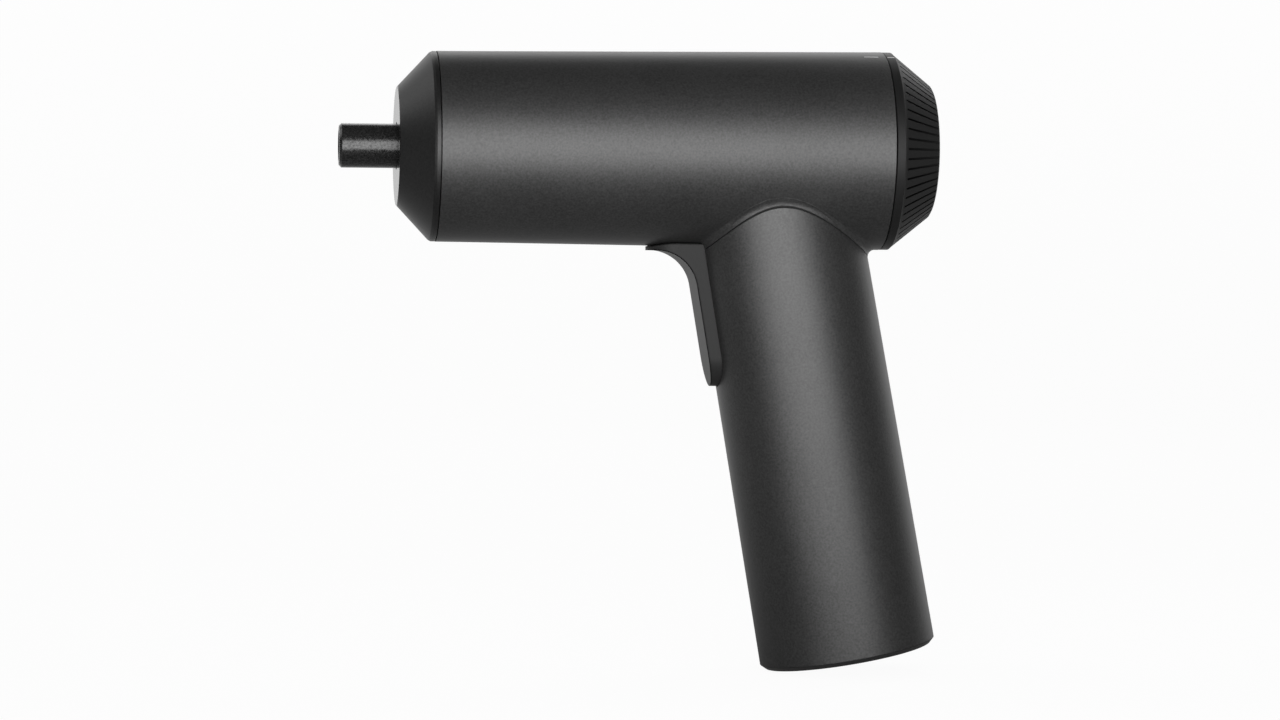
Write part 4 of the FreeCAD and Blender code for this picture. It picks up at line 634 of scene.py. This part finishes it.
@dataclass
class PrintedTick:
    """A plain tick that is printed along the spindle's axis on a round surface. Sizes in millimetres."""

    name: str
    start_x: float
    end_x: float
    degrees_from_top: float
    width: float = 0.6
    film: float = 0.03
    lift: float = 0.0075
    above: float = 3.0
    cuts: int = 7

    def model(self, surface: Object, radius: float) -> Object:
        """Models the tick as a thin film that follows the surface.

        Args:
            surface: The CAD node that carries the tick.
            radius: About the surface's radius there, in millimetres.

        Returns:
            The finished tick.
        """
        angle = math.radians(self.degrees_from_top)
        outwards = Vector((0.0, -math.sin(angle), math.cos(angle)))
        middle = outwards * (radius + self.above) * MM
        middle.x = (self.start_x + self.end_x) / 2 * MM
        tick = start_piece(self.name, bpy.ops.mesh.primitive_plane_add, size=1.0, location=middle,
                           rotation=(angle, 0.0, 0.0))
        tick.scale = ((self.end_x - self.start_x) * MM, self.width * MM, 1.0)
        settle(tick)
        with edit_mode():
            bpy.ops.mesh.subdivide(number_cuts=self.cuts)
        apply_modifier(tick, "Print", "SHRINKWRAP", target=surface, wrap_method="NEAREST_SURFACEPOINT",
                       wrap_mode="ABOVE_SURFACE", offset=self.lift * MM)
        apply_modifier(tick, "Film", "SOLIDIFY", thickness=self.film * MM, offset=1.0)
        return tick


@dataclass
class NeckBand:
    """The flat band in the barrel's fillet, above the seam with the handle. Sizes in millimetres.

    Each rim is an oval round the handle, given as its half width and its half depth.
    """

    lower_rim: tuple[float, float] = (20.38, 19.65)
    upper_rim: tuple[float, float] = (20.46, 20.95)
    below_barrel: float = 45.0
    sides: int = 240
    slot_half: float = 7.4
    film: float = 0.04
    thickness: float = 0.25
    smooth_degrees: float = 30.0

    def model(self, barrel: Object) -> Object:
        """Lays a flat ring below the barrel, opens it at the trigger and pushes it up onto the fillet.

        Args:
            barrel: The CAD node that carries the band.

        Returns:
            The finished band.
        """
        down = Vector((math.sin(HANDLE_LEAN), 0.0, -math.cos(HANDLE_LEAN)))
        place = (Vector((HANDLE_TOP_X, 0.0, 0.0)) + down * self.below_barrel) * MM
        band = start_piece("neck_band", bpy.ops.mesh.primitive_cone_add, vertices=self.sides,
                           radius1=self.upper_rim[0] * MM, radius2=self.lower_rim[0] * MM,
                           depth=self.thickness * MM, end_fill_type="NOTHING", location=place,
                           rotation=(0.0, -HANDLE_LEAN, 0.0))
        for corner in band.data.vertices:
            half_width, half_depth = self.upper_rim if corner.co.z < 0 else self.lower_rim
            towards = corner.co.xy.normalized()
            corner.co = Vector((half_depth * towards.x, half_width * towards.y, 0.0)) * MM
        with edit_mode():
            bpy.ops.mesh.select_mode(type="EDGE")
            select_edges(band, lambda end: end.x < 0 and abs(end.y) < self.slot_half * MM)
            bpy.ops.mesh.delete(type="VERT")
        apply_modifier(band, "Push", "SHRINKWRAP", target=barrel, wrap_method="PROJECT", use_project_z=True,
                       use_negative_direction=False, use_positive_direction=True, wrap_mode="ABOVE_SURFACE",
                       offset=self.film * MM)
        apply_modifier(band, "Depth", "SOLIDIFY", thickness=self.thickness * MM, offset=1.0)
        with edit_mode():
            bpy.ops.mesh.normals_make_consistent(inside=False)
        bpy.ops.object.shade_smooth_by_angle(angle=math.radians(self.smooth_degrees))
        settle(band)
        return band


@dataclass
class Housing(Assembly):
    """The barrel, handle, nose cap and base cap, with the neck's band and the ticks for the dial's stops.

    Places along the spindle and sizes in millimetres.
    """

    tick_start_x: float = 125.2
    tick_end_x: float = 128.6
    tick_degrees: float = 21.0
    barrel_radius: float = 23.9

    def finishes(self) -> Mapping[Finish, Iterable[str]]:
        """Pairs the finishes with the CAD nodes of this sub-assembly.

        Returns:
            The CAD nodes that each finish goes on.
        """
        return {METALLIC_COAT: ("barrel_housing", "handle_housing"),
                NOSE_COAT: ("nose_cap",),
                BASE_ABS: ("base_cap",),
                INNER_NYLON: ("neck_sleeve",)}

    def build(self) -> None:
        """Lays the band round the neck and prints a tick for each of the dial's two stops."""
        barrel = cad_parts["barrel_housing"]
        self.add(NeckBand().model(barrel), METALLIC_COAT, Body.HOUSING, Slot.COAT)
        stops = {"barrel_tick_near": self.tick_degrees, "barrel_tick_far": -self.tick_degrees}
        for name, degrees in stops.items():
            tick = PrintedTick(name, self.tick_start_x, self.tick_end_x, degrees)
            self.add(tick.model(barrel, self.barrel_radius), PRINT_INK, Body.HOUSING, Slot.COAT)


@dataclass
class BitHolder(Assembly):
    """The bit holder with its spindle and the magnet that holds the bit."""

    def finishes(self) -> Mapping[Finish, Iterable[str]]:
        """Gives the CAD nodes that each finish goes on."""
        return {BLACK_STEEL: ("bit_spindle",), FERRITE: ("bit_magnet",)}


@dataclass
class Dial(Assembly):
    """The ribbed direction dial at the rear, with its printed index line. Places and sizes in millimetres."""

    index_start_x: float = 130.9
    index_end_x: float = 132.6
    index_degrees: float = 21.0
    ring_radius: float = 23.8

    def finishes(self) -> Mapping[Finish, Iterable[str]]:
        """Pairs the finishes with the CAD nodes of this sub-assembly.

        Returns:
            The CAD nodes that each finish goes on.
        """
        return {DIAL_NYLON: ("dial",),
                BASE_ABS: ("dial_cap",),
                INNER_NYLON: ("rear_plate",),
                TURNED_STEEL: ("dial_screw", "dial_washer", "dial_friction_washer", "rear_plate_screws"),
                GREEN_BOARD: ("selector_board",),
                COPPER_STRIP: ("selector_wiper",)}

    def build(self) -> None:
        """Prints the index line on the dial's smooth ring."""
        tick = PrintedTick("dial_index", self.index_start_x, self.index_end_x, self.index_degrees)
        index = tick.model(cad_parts["dial"], self.ring_radius)
        self.add(index, PRINT_INK, Body.DIAL, Slot.BLACK_PLASTIC)


@dataclass
class TriggerGroup(Assembly):
    """The trigger with its switch, and the return spring that it presses. Places and sizes in millimetres."""

    trigger_back_x: float = 99.0
    spring_seat_x: float = 112.0
    trigger_travel: float = 1.6
    wire_radius: float = 0.25
    wire_sides: int = 12
    spring_turns: int = 6
    turn_steps: int = 40
    smooth_degrees: float = 40.0

    def finishes(self) -> Mapping[Finish, Iterable[str]]:
        """Gives the CAD nodes that each finish goes on."""
        return {TRIGGER_ABS: ("trigger",),
                INNER_NYLON: ("switch_body", "switch_plunger")}

    def build(self) -> None:
        """Winds the return spring in its node's place."""
        low, high = (Vector(corner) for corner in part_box("trigger_spring"))
        wire = self.wire_radius * MM
        coil = (high.y - low.y) / 2 - wire
        axis_z = (low.z + high.z) / 2
        spring = start_piece("return_spring", bpy.ops.mesh.primitive_circle_add, vertices=self.wire_sides,
                             radius=wire, location=(0.0, 0.0, 0.0), rotation=(math.pi / 2, 0.0, 0.0))
        settle(spring)
        with edit_mode():
            bpy.ops.transform.translate(value=(0.0, 0.0, coil))
        pitch = (high.x - low.x - 2 * wire) / self.spring_turns
        apply_modifier(spring, "Winding", "SCREW", axis="X", iterations=self.spring_turns,
                       steps=self.turn_steps, render_steps=self.turn_steps, screw_offset=pitch)
        with edit_mode():
            bpy.ops.mesh.fill_holes(sides=self.wire_sides)
            bpy.ops.mesh.normals_make_consistent(inside=False)
        bpy.ops.object.shade_smooth_by_angle(angle=math.radians(self.smooth_degrees))
        spring.location = (low.x + wire, 0.0, axis_z)
        settle(spring)
        self.add(spring, SPRING_STEEL, Body.HOUSING, Slot.STEEL)
        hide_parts("trigger_spring")
        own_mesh(spring)


@dataclass
class GearTrain(Assembly):
    """The two planetary stages in their case."""

    planets: int = 3

    def finishes(self) -> Mapping[Finish, Iterable[str]]:
        """Pairs the finishes with the CAD nodes of this sub-assembly.

        Returns:
            The CAD nodes that each finish goes on.
        """
        planets = [f"{stage}_planet_{k}" for stage in ("output", "input") for k in range(1, self.planets + 1)]
        return {NATURAL_NYLON: ("gear_case",),
                CAST_ZINC: ("front_plate",),
                SINTERED_BRONZE: ("spindle_bush",),
                TURNED_STEEL: ("thrust_washer", "gearbox_screws", "output_carrier", "output_pins",
                               "input_carrier", "input_pins", *planets)}


@dataclass
class Motor(Assembly):
    """The motor with its plate, cradle and leads."""

    def finishes(self) -> Mapping[Finish, Iterable[str]]:
        """Pairs the finishes with the CAD nodes of this sub-assembly.

        Returns:
            The CAD nodes that each finish goes on.
        """
        return {TURNED_STEEL: ("motor_pinion", "rotor_shaft", "motor_plate", "plate_screws", "motor_screws"),
                PLATED_SHEET: ("motor_can",),
                SINTERED_BRONZE: ("motor_front_bush", "motor_rear_bush"),
                FERRITE: ("motor_magnets",),
                LAMINATIONS: ("armature",),
                COPPER_STRIP: ("commutator", "motor_tags"),
                PRESSED_CARBON: ("motor_brushes",),
                INNER_NYLON: ("motor_end_bell", "motor_cradle"),
                LEAD_SILICONE: ("motor_leads",)}


@dataclass
class PowerPack(Assembly):
    """The cell, boards, charging socket and charge light in the handle.

    Sizes, and places along and across the handle, are in millimetres.
    """

    contact_count: int = 12
    contact_rows: int = 2
    contact_pitch: float = 0.5
    contact_width: float = 0.25
    contact_thickness: float = 0.04
    contact_start: float = 119.4
    contact_end: float = 122.1
    tongue_middle: float = 10.37
    tongue_thickness: float = 0.7
    contact_edge: float = 0.015
    edge_segments: int = 2

    def finishes(self) -> Mapping[Finish, Iterable[str]]:
        """Pairs the finishes with the CAD nodes of this sub-assembly.

        Returns:
            The CAD nodes that each finish goes on.
        """
        return {INNER_NYLON: ("chassis", "usb_tongue"),
                SHRINK_SLEEVE: ("battery_cell",),
                PLATED_SHEET: ("battery_tabs", "usb_shell"),
                GREEN_BOARD: ("main_board",),
                CHIP_EPOXY: ("board_chips",),
                FROSTED_ACRYLIC: ("charge_light",),
                LEAD_SILICONE: ("selector_leads",)}

    def build(self) -> None:
        """Lays gilt contacts on both faces of the socket's tongue, and leans them with the handle."""
        first = -(self.contact_count - 1) / 2 * self.contact_pitch
        faces_apart = self.tongue_thickness + self.contact_thickness
        level = self.tongue_middle - faces_apart / 2
        middle = Vector(((self.contact_start + self.contact_end) / 2, first, level)) * MM
        contacts = start_piece("socket_contacts", bpy.ops.mesh.primitive_cube_add, size=1.0, location=middle)
        length = self.contact_end - self.contact_start
        contacts.scale = Vector((length, self.contact_width, self.contact_thickness)) * MM
        settle(contacts)
        with edit_mode():
            bpy.ops.mesh.bevel(offset=self.contact_edge * MM, segments=self.edge_segments, affect="EDGES")
        rows = (("Row", self.contact_count, (0.0, self.contact_pitch * MM, 0.0)),
                ("Faces", self.contact_rows, (0.0, 0.0, faces_apart * MM)))
        for name, count, step in rows:
            apply_modifier(contacts, name, "ARRAY", count=count, use_relative_offset=False,
                           use_constant_offset=True, constant_offset_displace=step)
        contacts.location = (HANDLE_TOP_X * MM, 0.0, 0.0)
        contacts.rotation_euler = (0.0, math.pi / 2 - HANDLE_LEAN, 0.0)
        settle(contacts)
        self.add(contacts, GOLD_FLASH, Body.HOUSING, Slot.COPPER)


@dataclass
class Lamp:
    """A softbox that faces its aim. Place, size and aim in metres, a radiance of 1 being white."""

    name: str
    place: tuple[float, float, float]
    size: tuple[float, float]
    radiance: float
    aim: tuple[float, float, float] = (0.07, 0.0, -0.03)

    def hang(self) -> None:
        """Adds the lamp, hidden from the camera."""
        data = bpy.data.lights.new(self.name, "AREA")
        data.shape = "RECTANGLE"
        data.size, data.size_y = self.size
        data.energy = self.radiance * math.pi * self.size[0] * self.size[1]
        lamp = bpy.data.objects.new(self.name, data)
        bpy.context.scene.collection.objects.link(lamp)
        lamp.location = self.place
        lamp.rotation_euler = (Vector(self.aim) - Vector(self.place)).to_track_quat("-Z", "Y").to_euler()
        lamp.visible_camera = False


@dataclass
class Studio:
    """The camera, the pale sweep of floor and backdrop, and the soft lamps.

    Angles are in radians, and lengths in metres where their names don't give another unit. floor_lift is the
    floor's share of pure white in the picture. In reflections the paper goes from gloss_floor at gloss_near
    to white at gloss_far. fill is the world's level on dull surfaces, and room its level in reflections.
    """

    image_pixels: float = 1280.0
    focal_pixels: float = 3859.95
    sensor_mm: float = 36.0
    camera_mm: tuple[float, float, float] = (-42.554, -922.076, -24.929)
    yaw: float = -0.12434
    pitch: float = -0.02788
    roll: float = -0.00775
    sweep_width: float = 6.0
    sweep_front: float = -4.0
    sweep_back: float = 1.9
    sweep_height: float = 1.6
    sweep_bend: float = 0.6
    bend_segments: int = 24
    paper: str = "#f4f4f4"
    floor_gap: float = 0.0005
    floor_lift: float = 0.95
    gloss_near: float = -0.04
    gloss_far: float = 0.45
    gloss_floor: float = 0.1
    fill: float = 0.3
    room: float = 0.1

    def build(self) -> None:
        """Builds the whole studio."""
        bpy.context.scene.view_settings.view_transform = "Standard"
        self.place_camera()
        self.light_world()
        self.lay_sweep()
        for lamp in (Lamp("key_softbox", place=(0.03, -0.83, 0.25), size=(0.64, 1.27), radiance=4.8,
                          aim=(0.09, -0.254, 1.067)),
                     Lamp("back_softbox", place=(0.1, 1.25, 0.85), size=(1.0, 0.7), radiance=1.2),
                     Lamp("nose_softbox", place=(-1.2, 0.5, 0.9), size=(0.9, 0.7), radiance=1.7),
                     Lamp("side_softbox", place=(1.1, 0.55, 0.2), size=(0.8, 0.6), radiance=0.5),
                     Lamp("dial_softbox", place=(0.25, 0.14, 0.18), size=(0.1, 0.1), radiance=4.0,
                          aim=(0.13, 0.0, 0.0))):
            lamp.hang()

    def place_camera(self) -> None:
        """Sets the camera where the photograph was taken from."""
        data = bpy.data.cameras.new("photo_camera")
        data.sensor_fit = "HORIZONTAL"
        data.sensor_width = self.sensor_mm
        data.lens = self.focal_pixels * self.sensor_mm / self.image_pixels
        camera = bpy.data.objects.new("photo_camera", data)
        bpy.context.scene.collection.objects.link(camera)
        level = Matrix.Rotation(math.pi / 2, 4, "X")
        turn = (Matrix.Rotation(self.yaw, 4, "Z") @ Matrix.Rotation(self.pitch, 4, "X")
                @ Matrix.Rotation(self.roll, 4, "Y"))
        camera.matrix_world = Matrix.Translation(Vector(self.camera_mm) * MM) @ turn @ level
        bpy.context.scene.camera = camera

    def seen_plainly(self, tree: NodeTree, path: Node) -> NodeSocket:
        """Picks out the rays that come from the camera, straight or through a clear piece.

        Args:
            tree: The node tree.
            path: Its light path.

        Returns:
            1 for such a ray, 0 for the rest.
        """
        seen = add_node(tree, "ShaderNodeMath", links={0: path.outputs["Is Camera Ray"],
                                                       1: path.outputs["Is Transmission Ray"]},
                        operation="MAXIMUM")
        return seen.outputs["Value"]

    def light_world(self) -> None:
        """Makes the world white to the camera and through clear pieces, and elsewhere a dim room."""
        world = bpy.data.worlds.new("studio")
        bpy.context.scene.world = world
        tree = bare_tree(world)
        path = add_node(tree, "ShaderNodeLightPath")
        room = add_node(tree, "ShaderNodeMapRange", {"To Min": self.fill, "To Max": self.room},
                        {"Value": path.outputs["Is Glossy Ray"]})
        strength = add_node(tree, "ShaderNodeMath",
                            links={0: room.outputs["Result"], 1: self.seen_plainly(tree, path)},
                            operation="MAXIMUM")
        background = add_node(tree, "ShaderNodeBackground", {"Color": WHITE},
                              {"Strength": strength.outputs["Value"]})
        add_node(tree, "ShaderNodeOutputWorld", links={"Surface": background.outputs["Background"]})

    def white_paper(self, floor_z: float) -> Material:
        """Makes the sweep's paper: a matt pale floor that keeps its shadow and rises to a white backdrop.

        Args:
            floor_z: The floor's height.

        Returns:
            The material.
        """
        material = bpy.data.materials.new("matt_white_background_paper")
        tree = bare_tree(material)
        path = add_node(tree, "ShaderNodeLightPath")
        seen = self.seen_plainly(tree, path)
        place = add_node(tree, "ShaderNodeTexCoord").outputs["Object"]
        apart = add_node(tree, "ShaderNodeSeparateXYZ", links={"Vector": place})
        in_picture = add_node(tree, "ShaderNodeMapRange",
                              {"From Min": floor_z, "From Max": floor_z + self.sweep_bend,
                               "To Min": self.floor_lift},
                              {"Value": apart.outputs["Z"]})
        in_gloss = add_node(tree, "ShaderNodeMapRange",
                            {"From Min": self.gloss_near, "From Max": self.gloss_far,
                             "To Min": self.gloss_floor},
                            {"Value": apart.outputs["Y"]})
        picture = add_node(tree, "ShaderNodeMath", links={0: in_picture.outputs["Result"], 1: seen},
                           operation="MULTIPLY")
        lift = add_node(tree, "ShaderNodeMath", links={0: picture.outputs["Value"],
                                                       1: path.outputs["Is Glossy Ray"]}, operation="MAXIMUM")
        level = add_node(tree, "ShaderNodeMath", links={0: in_gloss.outputs["Result"], 1: seen},
                         operation="MAXIMUM")
        paper = add_node(tree, "ShaderNodeBsdfDiffuse", {"Color": linear(self.paper)})
        white = add_node(tree, "ShaderNodeEmission", {"Color": WHITE}, {"Strength": level.outputs["Value"]})
        mix = add_node(tree, "ShaderNodeMixShader", links={0: lift.outputs["Value"], 1: paper.outputs["BSDF"],
                                                           2: white.outputs["Emission"]})
        add_node(tree, "ShaderNodeOutputMaterial", links={"Surface": mix.outputs["Shader"]})
        return material

    def lay_sweep(self) -> None:
        """Lays the floor just under the tool's lowest point and bends it up into the backdrop."""
        floor_z = cad_box[0][2] - self.floor_gap
        middle = (self.sweep_front + self.sweep_back) / 2
        sweep = start_piece("floor_sweep", bpy.ops.mesh.primitive_plane_add, size=1.0,
                            location=(0.0, middle, floor_z))
        sweep.scale = (self.sweep_width, self.sweep_back - self.sweep_front, 1.0)
        settle(sweep)
        with edit_mode():
            bpy.ops.mesh.select_mode(type="EDGE")
            select_edges(sweep, lambda end: end.y > self.sweep_back - MM)
            bpy.ops.mesh.extrude_region_move(TRANSFORM_OT_translate={"value": (0.0, 0.0, self.sweep_height)})
            select_edges(sweep, lambda end: end.y > self.sweep_back - MM and end.z < floor_z + MM)
            bpy.ops.mesh.bevel(offset=self.sweep_bend, segments=self.bend_segments, affect="EDGES")
        bpy.ops.object.shade_smooth()
        sweep.data.materials.append(self.white_paper(floor_z))


def main() -> None:
    logging.basicConfig(level=logging.INFO, format="%(name)s: %(message)s")
    Studio().build()
    for assembly in (Housing(), BitHolder(), Dial(), TriggerGroup(), GearTrain(), Motor(), PowerPack()):
        assembly.dress()
        assembly.build()


if __name__ == "__main__":
    main()
